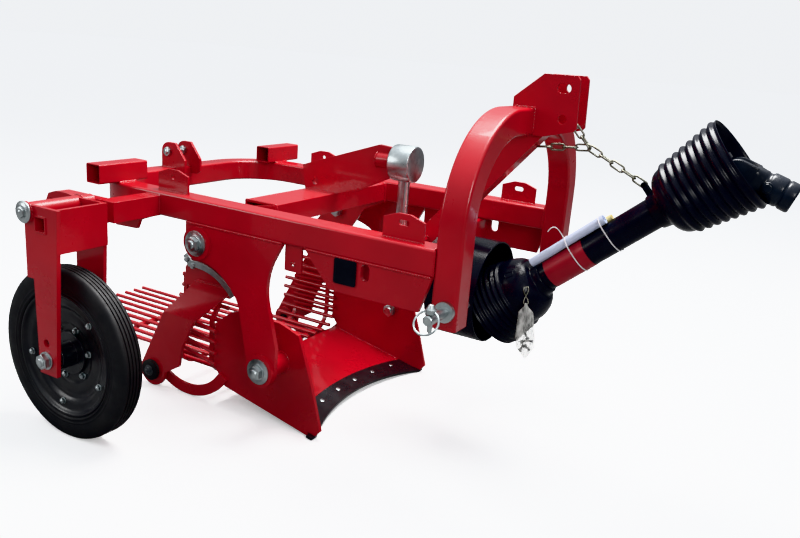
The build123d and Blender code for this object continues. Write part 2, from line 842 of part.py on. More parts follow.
# Sieve: waisted hoops, a spreader and round rods
hoop_middle = sieve_half - hoop_gauge / 2
neck_middle = neck_half - hoop_gauge / 2
floor_z = sieve_bottom + hoop_gauge / 2
corner_y, corner_z = hoop_middle - sieve_corner, floor_z + sieve_corner
diagonal = sieve_corner * cos(radians(45))
rod_front = share_tip_x - floor_end * cos(radians(share_angle)) - turning_gap
rod_z = sieve_bottom + hoop_gauge + sieve_rod_radius - 1

# Side rods: across, up and rear end, the last two round the corner of the hoops
rod_line = hoop_gauge / 2 + rod_bite
side_rods = [
    (neck_half - rod_line, 317, -866),
    (neck_half - rod_line, 287, -868),
    (neck_half - rod_line + 4, 257, -875),
    (sieve_half - rod_line - 1, 227, -885),
    (sieve_half - rod_line, 197, -896),
    (sieve_half - rod_line, 167, -900),
    (sieve_half - rod_line, 137, -900),
]
for turn in (20, 50):
    reach = sieve_corner - rod_line + hoop_gauge / 2
    side_rods.append((corner_y + reach * cos(radians(turn)), corner_z - reach * sin(radians(turn)), -905))
flare_levels = (212, 182, 152, 122)
with BuildPart() as sieve:
    for x in (front_hoop_x, rear_hoop_x):
        with BuildSketch(Plane.YZ.offset(x - hoop_width / 2)):
            with BuildLine():
                for side in (-1, 1):
                    FilletPolyline(
                        (side * neck_middle, sieve_top),
                        (side * neck_middle, neck_z),
                        (side * hoop_middle, waist_z),
                        (side * hoop_middle, corner_z),
                        radius=bend_radius,
                    )
                    ThreePointArc(
                        (side * hoop_middle, corner_z),
                        (side * (corner_y + diagonal), corner_z - diagonal),
                        (side * corner_y, floor_z),
                    )
                Line((-corner_y, floor_z), (corner_y, floor_z))
            trace(line_width=hoop_gauge)
        extrude(amount=hoop_width)
    with BuildSketch(Plane.YZ.offset(spreader_x)):
        with Locations((0, rod_z - sieve_rod_radius - 2)):
            Rectangle(rod_pitch * (long_rods - 1) + 2 * sieve_rod_radius, 2 * sieve_rod_radius)
    extrude(amount=hoop_width)
    with BuildSketch(Plane.YZ.offset(long_rod_end)):
        with GridLocations(rod_pitch, 1, long_rods, 1):
            with Locations((0, rod_z)):
                Circle(sieve_rod_radius)
    extrude(amount=rod_front - long_rod_end)
    with BuildSketch(Plane.YZ.offset(short_rod_end)):
        for step in (1, 2):
            y = rod_pitch * (long_rods - 1) / 2 + step * rod_pitch
            with Locations((-y, rod_z), (y, rod_z)):
                Circle(sieve_rod_radius)
    extrude(amount=rod_front - short_rod_end)
    for y, z, rear in side_rods:
        with BuildSketch(Plane.YZ.offset(rear)):
            with Locations((-y, z), (y, z)):
                Circle(sieve_rod_radius)
        extrude(amount=rod_front - rear)
    for z in flare_levels:
        for side in (-1, 1):
            flare_start = Vector(rear_hoop_x - hoop_width / 2, side * flare_inner, z)
            flare_end = Vector(rod_front, side * flare_outer, z - flare_drop)
            with BuildSketch(Plane(origin=flare_start, z_dir=flare_end - flare_start)):
                Circle(flare_radius)
            extrude(amount=(flare_end - flare_start).length)
save(sieve.part, "sieve")

# Tyre with rounded shoulders and ribs round its tread
tread_half = tyre_width / 2 - 11
groove_middles = (-13.5, -4.5, 4.5, 13.5)
tyre_points = [(-tyre_width / 2 + 3, tyre_inner), (-tyre_width / 2, tyre_inner + 8)]
tyre_points += [(-tyre_width / 2, wheel_radius - 19), (-tyre_width / 2 + 3, wheel_radius - 8), (-tread_half, wheel_radius - 1)]
for middle in groove_middles:
    tyre_points += [(middle - 1.5, wheel_radius), (middle - 1.5, wheel_radius - 4)]
    tyre_points += [(middle + 1.5, wheel_radius - 4), (middle + 1.5, wheel_radius)]
tyre_points += [(tread_half, wheel_radius - 1), (tyre_width / 2 - 3, wheel_radius - 8), (tyre_width / 2, wheel_radius - 19)]
tyre_points += [(tyre_width / 2, tyre_inner + 8), (tyre_width / 2 - 3, tyre_inner)]
wheel_line = Axis((wheel_x, wheel_y, wheel_radius), (0, 1, 0))
wheel_plane = Plane(origin=(wheel_x, wheel_y, wheel_radius), x_dir=(0, 1, 0), z_dir=(1, 0, 0))
with BuildPart() as tyre:
    with BuildSketch(wheel_plane):
        with BuildLine():
            Polyline(*tyre_points, close=True)
        make_face()
    revolve(axis=wheel_line)
save(tyre.part, "tyre")

# Wheel disc, stepped on both faces towards the hub flange, and the hub
step_profile = (
    (disc_gauge, hub_radius),
    (disc_gauge, 0.72 * tyre_inner),
    (2.2 * disc_gauge, 0.76 * tyre_inner),
    (2.2 * disc_gauge, 0.86 * tyre_inner),
    (4.4 * disc_gauge, 0.9 * tyre_inner),
    (5 * disc_gauge, 0.97 * tyre_inner),
    (tyre_width / 2 - 3, 0.98 * tyre_inner),
    (tyre_width / 2 - 3, tyre_inner),
)
with BuildPart() as wheel_disc:
    with BuildSketch(wheel_plane):
        with BuildLine():
            Polyline(*step_profile)
            Polyline(*[(-across, out) for across, out in step_profile])
            Line((-disc_gauge, hub_radius), (disc_gauge, hub_radius))
            Line((3 - tyre_width / 2, tyre_inner), (tyre_width / 2 - 3, tyre_inner))
        make_face()
    revolve(axis=wheel_line)
save(wheel_disc.part, "wheel_disc")

hub_profile = (
    (-hub_half, axle_radius + running_fit),
    (-hub_half, hub_radius - 3),
    (-hub_half + 3, hub_radius),
    (-disc_gauge - hub_flange_gauge, hub_radius),
    (-disc_gauge - hub_flange_gauge, hub_flange_radius),
    (-disc_gauge, hub_flange_radius),
    (-disc_gauge, hub_radius),
    (disc_gauge, hub_radius),
    (disc_gauge, hub_flange_radius),
    (disc_gauge + hub_flange_gauge, hub_flange_radius),
    (disc_gauge + hub_flange_gauge, hub_radius),
    (hub_half - 3, hub_radius),
    (hub_half, hub_radius - 3),
    (hub_half, axle_radius + running_fit),
)
with BuildPart() as wheel_hub:
    with BuildSketch(wheel_plane):
        with BuildLine():
            Polyline(*hub_profile, close=True)
        make_face()
    revolve(axis=wheel_line)
save(wheel_hub.part, "wheel_hub")

# Fork: near and far legs, a front plate between them and the pivot bush
fork_near = -wheel_y + fork_half
fork_far = -wheel_y - fork_half
leg_foot = placed(wheel_x, wheel_radius - leg_below, ((-25, 0), (32, 0)))
near_points = placed(wheel_x, fork_top, ((55, 0), (-55, 0), (-55, -167), (-32, -167))) + leg_foot
far_points = placed(wheel_x, fork_top, ((50, 0), (-50, 0), (-79, 4), (-117, 3), (-142, -5), (-156, -30), (-135, -60), (-50, -90)))
far_points += [(wheel_x - 50, wheel_radius - leg_below), leg_foot[1]]
fork_socket_x, fork_socket_z = wheel_x - 1, fork_top - 39
with BuildPart() as wheel_fork:
    with BuildSketch(Plane.XZ.offset(fork_near - fork_gauge)):
        with BuildLine():
            Polyline(*near_points, close=True)
        make_face()
        with Locations((wheel_x + 1, wheel_radius + 41)):
            Circle(leg_hole_radius, mode=Mode.SUBTRACT)
    extrude(amount=fork_gauge)
    with BuildSketch(Plane.XZ.offset(fork_far)):
        with BuildLine():
            Polyline(*far_points, close=True)
        make_face()
        with Locations((wheel_x - 124, fork_top - 28)):
            Rectangle(26, 24, mode=Mode.SUBTRACT)
    extrude(amount=fork_gauge)
    with BuildSketch(Plane.XZ.offset(fork_near - 70)):
        with Locations((fork_socket_x, fork_socket_z)):
            Rectangle(socket_side, socket_side)
    extrude(amount=72)
    with BuildSketch(Plane.XZ.offset(fork_near - 70)):
        with Locations((fork_socket_x, fork_socket_z)):
            Rectangle(socket_side - 2 * socket_wall, socket_side - 2 * socket_wall)
    extrude(amount=72, mode=Mode.SUBTRACT)
    with BuildSketch(Plane.YZ.offset(wheel_x + 50 - fork_gauge)):
        with Locations((wheel_y, fork_top - fork_plate_depth / 2)):
            Rectangle(2 * fork_half - 2, fork_plate_depth)
    extrude(amount=fork_gauge)
    with BuildSketch(Plane.XZ.offset(fork_far - 40)):
        with Locations((wheel_x, wheel_radius)):
            Circle(axle_radius)
    extrude(amount=2 * fork_half + 80, mode=Mode.SUBTRACT)
    with BuildSketch(Plane.XZ.offset(fork_far)):
        with Locations((fork_bush_x, fork_bush_z)):
            Circle(fork_bush_radius)
    extrude(amount=2 * fork_half, mode=Mode.SUBTRACT)
save(wheel_fork.part, "wheel_fork")

with BuildPart() as fork_bush:
    with BuildSketch(Plane.XZ.offset(500)):
        with Locations((fork_bush_x, fork_bush_z)):
            Circle(fork_bush_radius)
    extrude(amount=fork_bush_end - 500)
save(fork_bush.part, "fork_bush")

with BuildPart() as fork_washer:
    with BuildSketch(Plane.XZ.offset(fork_bush_end)):
        with Locations((fork_bush_x, fork_bush_z)):
            Circle(fork_washer_radius)
    extrude(amount=washer_gauge)
    with BuildSketch(Plane.XZ.offset(fork_bush_end + washer_gauge)):
        with Locations((fork_bush_x, fork_bush_z)):
            RegularPolygon(small_flats / 2, 6, major_radius=False)
    extrude(amount=small_head)
save(fork_washer.part, "fork_washer")

with BuildPart() as wheel_axle:
    with BuildSketch(Plane.XZ.offset(fork_far)):
        with Locations((wheel_x, wheel_radius)):
            Circle(axle_radius)
    extrude(amount=2 * fork_half)
    with BuildSketch(Plane.XZ.offset(fork_near)):
        with Locations((wheel_x, wheel_radius)):
            RegularPolygon(head_flats / 2, 6, major_radius=False)
    extrude(amount=axle_head_height)
    with BuildSketch(Plane.XZ.offset(fork_far - head_height)):
        with Locations((wheel_x, wheel_radius)):
            RegularPolygon(head_flats / 2, 6, major_radius=False)
    extrude(amount=head_height)
save(wheel_axle.part, "wheel_axle")

# Arm that carries the fork, welded to the right beam
with BuildPart() as wheel_arm:
    with BuildSketch(Plane.XZ.offset(frame_half)):
        with Locations((wheel_bar_x, rail_bottom + arm_side / 2)):
            Rectangle(arm_side, arm_side)
    extrude(amount=arm_offset - frame_half)
    with BuildSketch(Plane.XZ.offset(arm_offset - arm_side)):
        with Locations(((arm_tail_x + wheel_bar_x) / 2, rail_bottom + 20)):
            Rectangle(wheel_bar_x - arm_tail_x, arm_tail_depth)
    extrude(amount=arm_side)
    with BuildSketch(Plane.XZ.offset(arm_offset)):
        with Locations((fork_bush_x, fork_bush_z - 20)):
            Rectangle(60, 60)
    extrude(amount=10)
save(wheel_arm.part, "wheel_arm")

# Stepped bracket plate under the beam beside the arm
with BuildPart() as arm_bracket:
    with BuildSketch(Plane.XZ.offset(frame_half - bracket_gauge)):
        with BuildLine():
            Polyline(
                (-830, rail_bottom),
                (-858, rail_bottom - 8),
                (-900, rail_bottom - 24),
                (-911, rail_bottom - 48),
                (-988, rail_bottom - 51),
                (-1000, rail_bottom),
                close=True,
            )
        make_face()
    extrude(amount=bracket_gauge)
save(arm_bracket.part, "arm_bracket")

# Lugs that hook over the rear bow's inner edge, and a bolt in the eye of each
bow_inner = bow_rear + tube_side
nose_rise = lug_nose * sin(radians(45))
with BuildPart() as rear_lugs:
    for y in (lug_right_y, lug_left_y):
        with BuildSketch(Plane.XZ.offset(-y - lug_gauge / 2)):
            with BuildLine():
                Line((lug_x - lug_nose, rail_top), (lug_x - lug_nose, lug_eye_z))
                ThreePointArc(
                    (lug_x - lug_nose, lug_eye_z),
                    (lug_x - nose_rise, lug_eye_z + nose_rise),
                    (lug_x, lug_eye_z + lug_nose),
                )
                Polyline(
                    (lug_x, lug_eye_z + lug_nose),
                    (lug_x + lug_nose, lug_eye_z + lug_nose),
                    (lug_tip_x, rail_top + 25),
                    (lug_tip_x, lug_foot_z + 8),
                    (lug_tip_x - 15, lug_foot_z),
                    (bow_inner + turning_gap, lug_foot_z),
                    (bow_inner + turning_gap, rail_top),
                    (lug_x - lug_nose, rail_top),
                )
            make_face()
            with Locations((lug_x, lug_eye_z)):
                Circle(lug_eye_radius, mode=Mode.SUBTRACT)
        extrude(amount=lug_gauge)
save(rear_lugs.part, "rear_lugs")

with BuildPart() as lug_bolts:
    for y in (lug_right_y, lug_left_y):
        with BuildSketch(Plane.XZ.offset(-y - lug_gauge / 2)):
            with Locations((lug_x, lug_eye_z)):
                Circle(lug_eye_radius - turning_gap)
        extrude(amount=lug_gauge)
        with BuildSketch(Plane.XZ.offset(-y + lug_gauge / 2)):
            with Locations((lug_x, lug_eye_z)):
                RegularPolygon(1.2 * lug_eye_radius, 6, major_radius=False)
        extrude(amount=small_head)
        with BuildSketch(Plane.XZ.offset(-y - lug_gauge / 2 - small_head)):
            with Locations((lug_x, lug_eye_z)):
                RegularPolygon(1.2 * lug_eye_radius, 6, major_radius=False)
        extrude(amount=small_head)
save(lug_bolts.part, "lug_bolts")

# Drive shaft: every piece turns about the shaft's own inclined line
shaft_dir = (cos(radians(shaft_angle)), 0, sin(radians(shaft_angle)))
shaft_line = Axis((joint_x, 0, drive_z), shaft_dir)
shaft_plane = Plane(origin=(joint_x, 0, drive_z), x_dir=shaft_dir, z_dir=(0, -1, 0))


# A solid turned about the shaft's line from (along, radius) points
def turned(points):
    with BuildPart() as body:
        with BuildSketch(shaft_plane):
            with BuildLine():
                Polyline(*points, close=True)
            make_face()
        revolve(axis=shaft_line)
    return body.part


# Outline points of a ringed cone, outside and then back along its plain inside
def bellows(start, end, first, last, rings, wall):
    step = (end - start) / rings
    growth = (last - first) / rings
    outside = []
    for ring in range(rings):
        outside.append((start + ring * step, first + ring * growth))
        outside.append((start + (ring + 0.5) * step, first + (ring + 0.5) * growth + 5))
    outside.append((end, last))
    return outside + [(end, last - wall), (start, first - wall)]


# Inner guard: a collar, a dome and a ringed skirt that opens inside the can
shaft_hole = shaft_radius + turning_gap
inner_guard_points = [(tube_start, guard_radius), (collar_start, guard_radius + 5), (collar_start - 5, guard_radius + 6)]
inner_guard_points += [(82, 54), (74, 64), (62, 72), (46, dome_radius - 1), (dome_start, dome_radius)]
inner_guard_points += bellows(skirt_start, skirt_end, dome_radius, skirt_radius, 6, guard_wall)
inner_guard_points += [(dome_start, dome_radius - guard_wall), (46, dome_radius - guard_wall - 1), (62, 68), (74, 58)]
inner_guard_points += [(collar_start - 12, 40), (collar_start - 12, shaft_hole)]
inner_guard_points += [(tube_start, shaft_hole)]
save(turned(inner_guard_points), "guard_cone_inner")

tube_points = [(tube_start, guard_radius - guard_wall), (tube_start, guard_radius), (tube_end, guard_radius)]
tube_points += [(tube_end, guard_radius - guard_wall)]
save(turned(tube_points), "guard_tube")

# Support chain: angular links of bevelled wire, each drawn tight against the next
bevel = link_wire / 4
with BuildPart() as chain_link:
    with BuildSketch(Plane.XY.offset(-link_wire / 2)):
        for out, mode in ((0, Mode.ADD), (link_wire, Mode.SUBTRACT)):
            half_long, half_wide = link_length / 2 - out, link_width / 2 - out
            cut = 0.5 * half_wide
            with BuildLine():
                Polyline(
                    (half_long, half_wide - cut),
                    (half_long - cut, half_wide),
                    (cut - half_long, half_wide),
                    (-half_long, half_wide - cut),
                    (-half_long, cut - half_wide),
                    (cut - half_long, -half_wide),
                    (half_long - cut, -half_wide),
                    (half_long, cut - half_wide),
                    close=True,
                )
            make_face(mode=mode)
    extrude(amount=link_wire)
    chamfer(faces().sort_by(Axis.Z)[0].edges() + faces().sort_by(Axis.Z)[-1].edges(), bevel)

# Points where link pulls on link: from the bar between the top-link plates down and then forward to the guard
link_pitch = link_length - 2 * link_wire - link_gap
strand = [Vector(chain_bar_x - chain_bar_radius * cos(radians(47)), 0, chain_bar_z + chain_bar_radius * sin(radians(47)))]
for steps, slope in ((2, -47), (5, -26)):
    for step in range(steps):
        turn = radians(slope)
        strand.append(strand[-1] + Vector(link_pitch * cos(turn), 0, link_pitch * sin(turn)))
spare = [strand[2]]
for step in range(4):
    turn = radians(185.73)
    spare.append(spare[-1] + Vector(link_pitch * cos(turn), 0, link_pitch * sin(turn)))
link_places = []
for points in (strand, spare):
    for step in range(len(points) - 1):
        along = (points[step + 1] - points[step]).normalized()
        flat = Vector(-along.Z, 0, along.X)
        face = Vector(0, 1, 0) if step % 2 == 0 else flat
        link_places.append(Plane(origin=(points[step] + points[step + 1]) / 2, x_dir=along, z_dir=face))
with BuildPart() as support_chain:
    for place in link_places:
        with Locations(place.location):
            add(chain_link.part)
save(support_chain.part, "support_chain")

with BuildPart() as chain_bar:
    with BuildSketch(Plane.XZ.offset(-mast_gap / 2)):
        with Locations((chain_bar_x, chain_bar_z)):
            Circle(chain_bar_radius - link_gap)
    extrude(amount=mast_gap)
save(chain_bar.part, "chain_bar")

# Outer guard: collar, dome, rings, and the eye that holds the chain
outer_guard_points = [(tube_end, shaft_hole), (tube_end, guard_radius + 4), (tube_end + 22, guard_radius + 9)]
outer_guard_points += [(tube_end + 30, 60), (440, 74)]
outer_guard_points += bellows(450, mouth_at, 76, mouth_radius, 8, guard_wall)
outer_guard_points += [(tube_end + 33, 58), (tube_end + 20, 38), (tube_end + 20, shaft_hole)]
outer_guard = turned(outer_guard_points)
pull = (strand[-1] - strand[-2]).normalized()
eye_pin = strand[-1] - pull * chain_bar_radius
eye_at = shaft_plane.to_local_coords(eye_pin)
with BuildPart() as guard_cone_outer:
    add(outer_guard)
    with BuildSketch(shaft_plane.offset(link_wire / 2 + 2)):
        with Locations((eye_at.X, (eye_at.Y + guard_radius + 8) / 2)):
            Rectangle(eye_width, eye_at.Y - guard_radius + 4)
    extrude(amount=eye_gauge)
    with BuildSketch(shaft_plane.offset(-link_wire / 2 - 2 - eye_gauge)):
        with Locations((eye_at.X, (eye_at.Y + guard_radius + 8) / 2)):
            Rectangle(eye_width, eye_at.Y - guard_radius + 4)
    extrude(amount=eye_gauge)
    with BuildSketch(shaft_plane.offset(-link_wire / 2 - 2 - eye_gauge)):
        with Locations((eye_at.X, eye_at.Y)):
            Circle(chain_bar_radius - link_gap)
    extrude(amount=link_wire + 4 + 2 * eye_gauge)
save(guard_cone_outer.part, "guard_cone_outer")

# Drive shaft: inner socket, bar, and the broad fork of the outer joint
socket_rear = joint_ball + turning_gap
shaft_points = [(socket_rear, 0), (socket_rear, hub_outer), (58, hub_outer), (58, shaft_radius)]
shaft_points += [(outer_joint - 60, shaft_radius), (outer_joint - 60, 30)]
shaft_points += [(outer_joint - 44, 30), (outer_joint - 44, 0)]
drive_shaft = turned(shaft_points)
ear_plane = Plane(
    origin=shaft_plane.from_local_coords((outer_joint - ear_root, 0, 0)), x_dir=(0, 1, 0), z_dir=shaft_dir
)
with BuildPart() as shaft_fork:
    add(drive_shaft)
    with BuildSketch(ear_plane):
        with Locations((0, ear_gap + fork_ear_gauge / 2), (0, -ear_gap - fork_ear_gauge / 2)):
            Rectangle(fork_ear_width, fork_ear_gauge)
    extrude(amount=ear_root + ear_nose)
save(shaft_fork.part, "drive_shaft")

joint_point = shaft_plane.from_local_coords((outer_joint, 0, 0))
shaft_up = (-sin(radians(shaft_angle)), 0, cos(radians(shaft_angle)))
cross_reach = ear_gap - turning_gap
with BuildPart() as joint_cross:
    with BuildSketch(Plane(origin=joint_point, x_dir=(0, 1, 0), z_dir=shaft_up).offset(-cross_reach)):
        Circle(9)
    extrude(amount=2 * cross_reach)
    with BuildSketch(Plane.XZ.offset(-cross_reach)):
        with Locations((joint_point.X, joint_point.Z)):
            Circle(9)
    extrude(amount=2 * cross_reach)
save(joint_cross.part, "joint_cross")

# Outer yoke: splined socket, bridge, two broad ears with bearing caps, and a push pin
yoke_dir = (cos(radians(yoke_droop)), 0, sin(radians(yoke_droop)))
yoke_line = Axis(joint_point, yoke_dir)
yoke_plane = Plane(origin=joint_point, x_dir=yoke_dir, z_dir=(0, -1, 0))
yoke_ears = Plane(origin=yoke_plane.from_local_coords((ear_root, 0, 0)), x_dir=(0, 1, 0), z_dir=yoke_dir)
yoke_end = 134
socket_radius = 17.5
with BuildPart() as outer_yoke:
    with BuildSketch(yoke_plane):
        with BuildLine():
            Polyline((44, 0), (44, hub_outer), (110, hub_outer), (110, 31), (yoke_end, 31), (yoke_end, 0), close=True)
        make_face()
    revolve(axis=yoke_line)
    with BuildSketch(yoke_ears):
        with Locations((ear_gap + ear_gauge / 2, 0), (-ear_gap - ear_gauge / 2, 0)):
            RectangleRounded(ear_gauge, ear_width, 4)
    extrude(amount=-ear_root - ear_nose)
    with BuildSketch(yoke_ears):
        RectangleRounded(2 * (ear_gap + ear_gauge), ear_width, 12)
    extrude(amount=12, taper=20)
    with BuildSketch(yoke_plane.offset(-ear_gap - ear_gauge - 2)):
        Circle(cap_radius)
    extrude(amount=2)
    with BuildSketch(yoke_plane.offset(ear_gap + ear_gauge)):
        Circle(cap_radius)
    extrude(amount=2)
    with BuildSketch(yoke_plane.offset(hub_outer - 6)):
        with Locations((80, 0)):
            Circle(9)
    extrude(amount=15)
    with BuildSketch(yoke_plane):
        with BuildLine():
            Polyline((60, 0), (60, socket_radius), (yoke_end, socket_radius), (yoke_end, 0), close=True)
        make_face()
    revolve(axis=yoke_line, mode=Mode.SUBTRACT)
save(outer_yoke.part, "outer_yoke")
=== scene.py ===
import json
from math import cos, radians, sin

import bmesh
import bpy
import numpy as np
from mathutils import Matrix, Vector


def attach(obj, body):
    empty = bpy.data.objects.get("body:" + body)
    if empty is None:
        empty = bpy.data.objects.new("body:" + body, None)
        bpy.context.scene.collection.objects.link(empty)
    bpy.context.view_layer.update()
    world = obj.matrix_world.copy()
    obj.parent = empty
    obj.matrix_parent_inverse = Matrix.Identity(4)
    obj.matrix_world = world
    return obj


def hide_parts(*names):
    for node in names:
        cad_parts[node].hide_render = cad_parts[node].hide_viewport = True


# Potato digger: finishes for the parts of the frame, and the finer pieces that go on them.
# Sizes of the pieces are in millimetres and degrees, unless a comment says otherwise.
# Edges, camera, floor and lamps are in metres.
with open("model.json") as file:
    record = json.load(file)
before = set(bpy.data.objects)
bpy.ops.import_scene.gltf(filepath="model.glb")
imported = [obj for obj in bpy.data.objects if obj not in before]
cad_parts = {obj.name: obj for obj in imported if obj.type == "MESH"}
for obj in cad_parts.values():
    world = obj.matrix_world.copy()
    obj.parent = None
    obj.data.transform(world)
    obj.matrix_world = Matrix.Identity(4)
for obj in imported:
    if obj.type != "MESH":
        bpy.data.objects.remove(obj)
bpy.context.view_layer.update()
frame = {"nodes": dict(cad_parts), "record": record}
nodes = frame["nodes"]
print("frame loaded,", len(nodes), "nodes")


# Helpers for shader nodes. Every pattern reads Object coordinates, so it stays on the piece.
def startMaterial(name):
    material = bpy.data.materials.new(name)
    material.use_nodes = True
    return material, material.node_tree, material.node_tree.nodes["Principled BSDF"]


def noise(tree, scale, detail=3.0, roughness=0.55, stretch=(1, 1, 1)):
    where = tree.nodes.new("ShaderNodeTexCoord")
    mapping = tree.nodes.new("ShaderNodeMapping")
    mapping.inputs["Scale"].default_value = stretch
    grain = tree.nodes.new("ShaderNodeTexNoise")
    grain.inputs["Scale"].default_value = scale
    grain.inputs["Detail"].default_value = detail
    grain.inputs["Roughness"].default_value = roughness
    tree.links.new(where.outputs["Object"], mapping.inputs["Vector"])
    tree.links.new(mapping.outputs["Vector"], grain.inputs["Vector"])
    return grain.outputs["Fac"]


def spread(tree, source, fromLow, fromHigh, low, high):
    fit = tree.nodes.new("ShaderNodeMapRange")
    fit.inputs["From Min"].default_value = fromLow
    fit.inputs["From Max"].default_value = fromHigh
    fit.inputs["To Min"].default_value = low
    fit.inputs["To Max"].default_value = high
    tree.links.new(source, fit.inputs["Value"])
    return fit.outputs["Result"]


def blendColours(tree, factor, first, second):
    mix = tree.nodes.new("ShaderNodeMix")
    mix.data_type = "RGBA"
    for socket, colour in ((mix.inputs[6], first), (mix.inputs[7], second)):
        if isinstance(colour, tuple):
            socket.default_value = (*colour, 1)
        else:
            tree.links.new(colour, socket)
    tree.links.new(factor, mix.inputs["Factor"])
    return mix.outputs[2]


def bumpFrom(tree, height, strength, distance, under=None):
    bump = tree.nodes.new("ShaderNodeBump")
    bump.inputs["Strength"].default_value = strength
    bump.inputs["Distance"].default_value = distance
    tree.links.new(height, bump.inputs["Height"])
    if under:
        tree.links.new(under, bump.inputs["Normal"])
    return bump.outputs["Normal"]


redLook = {"deep": (0.30, 0.0035, 0.0090), "fresh": (0.42, 0.0060, 0.0140), "dust": (0.42, 0.10, 0.10),
           "driftScale": 3.0, "dustScale": 42.0, "dustMost": 0.14, "hazeScale": 11.0, "rough": (0.24, 0.38),
           "coat": 0.45, "coatRoughness": 0.06, "runScale": 26.0, "runs": 0.10,
           "peelScale": 420.0, "peel": 0.04}


def redPaint():
    # gloss paint: a slow drift between two reds, a film of pale dust, and orange peel under the clear coat
    look = redLook
    material, tree, bsdf = startMaterial("red_paint")
    drift = spread(tree, noise(tree, look["driftScale"]), 0.35, 0.65, 0, 1)
    colour = blendColours(tree, drift, look["deep"], look["fresh"])
    dust = spread(tree, noise(tree, look["dustScale"], 8.0, 0.7), 0.58, 0.82, 0, look["dustMost"])
    tree.links.new(blendColours(tree, dust, colour, look["dust"]), bsdf.inputs["Base Color"])
    haze = spread(tree, noise(tree, look["hazeScale"], 5.0), 0.3, 0.7, *look["rough"])
    tree.links.new(haze, bsdf.inputs["Roughness"])
    bsdf.inputs["Coat Weight"].default_value = look["coat"]
    bsdf.inputs["Coat Roughness"].default_value = look["coatRoughness"]
    runs = bumpFrom(tree, noise(tree, look["runScale"], 2.0), look["runs"], 0.0015)
    peel = bumpFrom(tree, noise(tree, look["peelScale"], 2.0), look["peel"], 0.0006, runs)
    tree.links.new(peel, bsdf.inputs["Normal"])
    return material


zincLooks = {
    "zinc_plate": {"dark": (0.40, 0.44, 0.45), "pale": (0.54, 0.58, 0.58), "rough": (0.27, 0.40),
                   "brushed": (1, 1, 8)},
    "chain_zinc": {"dark": (0.15, 0.15, 0.12), "pale": (0.34, 0.33, 0.28), "rough": (0.30, 0.48),
                   "brushed": (1, 1, 1)},
}


def zincPlate(name):
    # bright plating: blotches of two greys, with fine marks drawn along one direction
    look = zincLooks[name]
    material, tree, bsdf = startMaterial(name)
    bsdf.inputs["Metallic"].default_value = 1.0
    blotch = spread(tree, noise(tree, 55.0, 5.0), 0.35, 0.65, 0, 1)
    tree.links.new(blendColours(tree, blotch, look["dark"], look["pale"]), bsdf.inputs["Base Color"])
    tree.links.new(spread(tree, noise(tree, 90.0, 4.0), 0.3, 0.7, *look["rough"]), bsdf.inputs["Roughness"])
    marks = noise(tree, 260.0, 3.0, 0.6, look["brushed"])
    tree.links.new(bumpFrom(tree, marks, 0.12, 0.0004), bsdf.inputs["Normal"])
    return material


blackLooks = {
    "black_plastic": {"deep": (0.005, 0.005, 0.008), "worn": (0.014, 0.015, 0.020), "rough": (0.30, 0.44),
                      "grain": (700.0, 0.10), "coat": 0.0, "shine": 0.28},
    "black_paint": {"deep": (0.008, 0.008, 0.010), "worn": (0.022, 0.022, 0.024), "rough": (0.22, 0.40),
                    "grain": (300.0, 0.08), "coat": 0.4, "shine": 0.5},
    "black_casting": {"deep": (0.005, 0.007, 0.012), "worn": (0.014, 0.018, 0.028), "rough": (0.24, 0.38),
                      "grain": (150.0, 0.45), "coat": 0.2, "shine": 0.35},
    "gloss_plastic": {"deep": (0.004, 0.004, 0.008), "worn": (0.010, 0.011, 0.018), "rough": (0.20, 0.32),
                      "grain": (500.0, 0.05), "coat": 0.0, "shine": 0.24},
    "wheel_paint": {"deep": (0.010, 0.010, 0.012), "worn": (0.030, 0.029, 0.028), "rough": (0.28, 0.46),
                    "grain": (260.0, 0.10), "coat": 0.2, "shine": 0.5},
    "dark_bolt": {"deep": (0.05, 0.055, 0.06), "worn": (0.16, 0.16, 0.16), "rough": (0.28, 0.44),
                  "grain": (300.0, 0.10), "coat": 0.0, "shine": 0.5},
    "tyre_rubber": {"deep": (0.008, 0.008, 0.009), "worn": (0.022, 0.021, 0.021), "rough": (0.50, 0.70),
                    "grain": (520.0, 0.20), "coat": 0.0, "shine": 0.5},
}


def blackFinish(name):
    # black with a slight bloom; the grain is moulding texture, casting skin or rubber, by its scale and depth
    look = blackLooks[name]
    grainScale, grainDepth = look["grain"]
    material, tree, bsdf = startMaterial(name)
    bloom = spread(tree, noise(tree, 16.0, 6.0, 0.65), 0.4, 0.75, 0, 1)
    tree.links.new(blendColours(tree, bloom, look["deep"], look["worn"]), bsdf.inputs["Base Color"])
    tree.links.new(spread(tree, noise(tree, 30.0, 4.0), 0.3, 0.7, *look["rough"]), bsdf.inputs["Roughness"])
    bsdf.inputs["Coat Weight"].default_value = look["coat"]
    bsdf.inputs["Coat Roughness"].default_value = 0.12
    bsdf.inputs["Specular IOR Level"].default_value = look["shine"]
    tree.links.new(bumpFrom(tree, noise(tree, grainScale, 3.0), grainDepth, 0.0008), bsdf.inputs["Normal"])
    return material


filmLooks = {
    "band_vinyl": {"colour": (0.30, 0.012, 0.022), "rough": (0.34, 0.46), "crease": 0.05},
    "paper_white": {"colour": (0.62, 0.68, 0.84), "rough": (0.55, 0.75), "crease": 0.20},
    "paper_yellow": {"colour": (0.82, 0.70, 0.34), "rough": (0.55, 0.75), "crease": 0.20},
    "tie_white": {"colour": (0.80, 0.78, 0.80), "rough": (0.35, 0.50), "crease": 0.03},
}


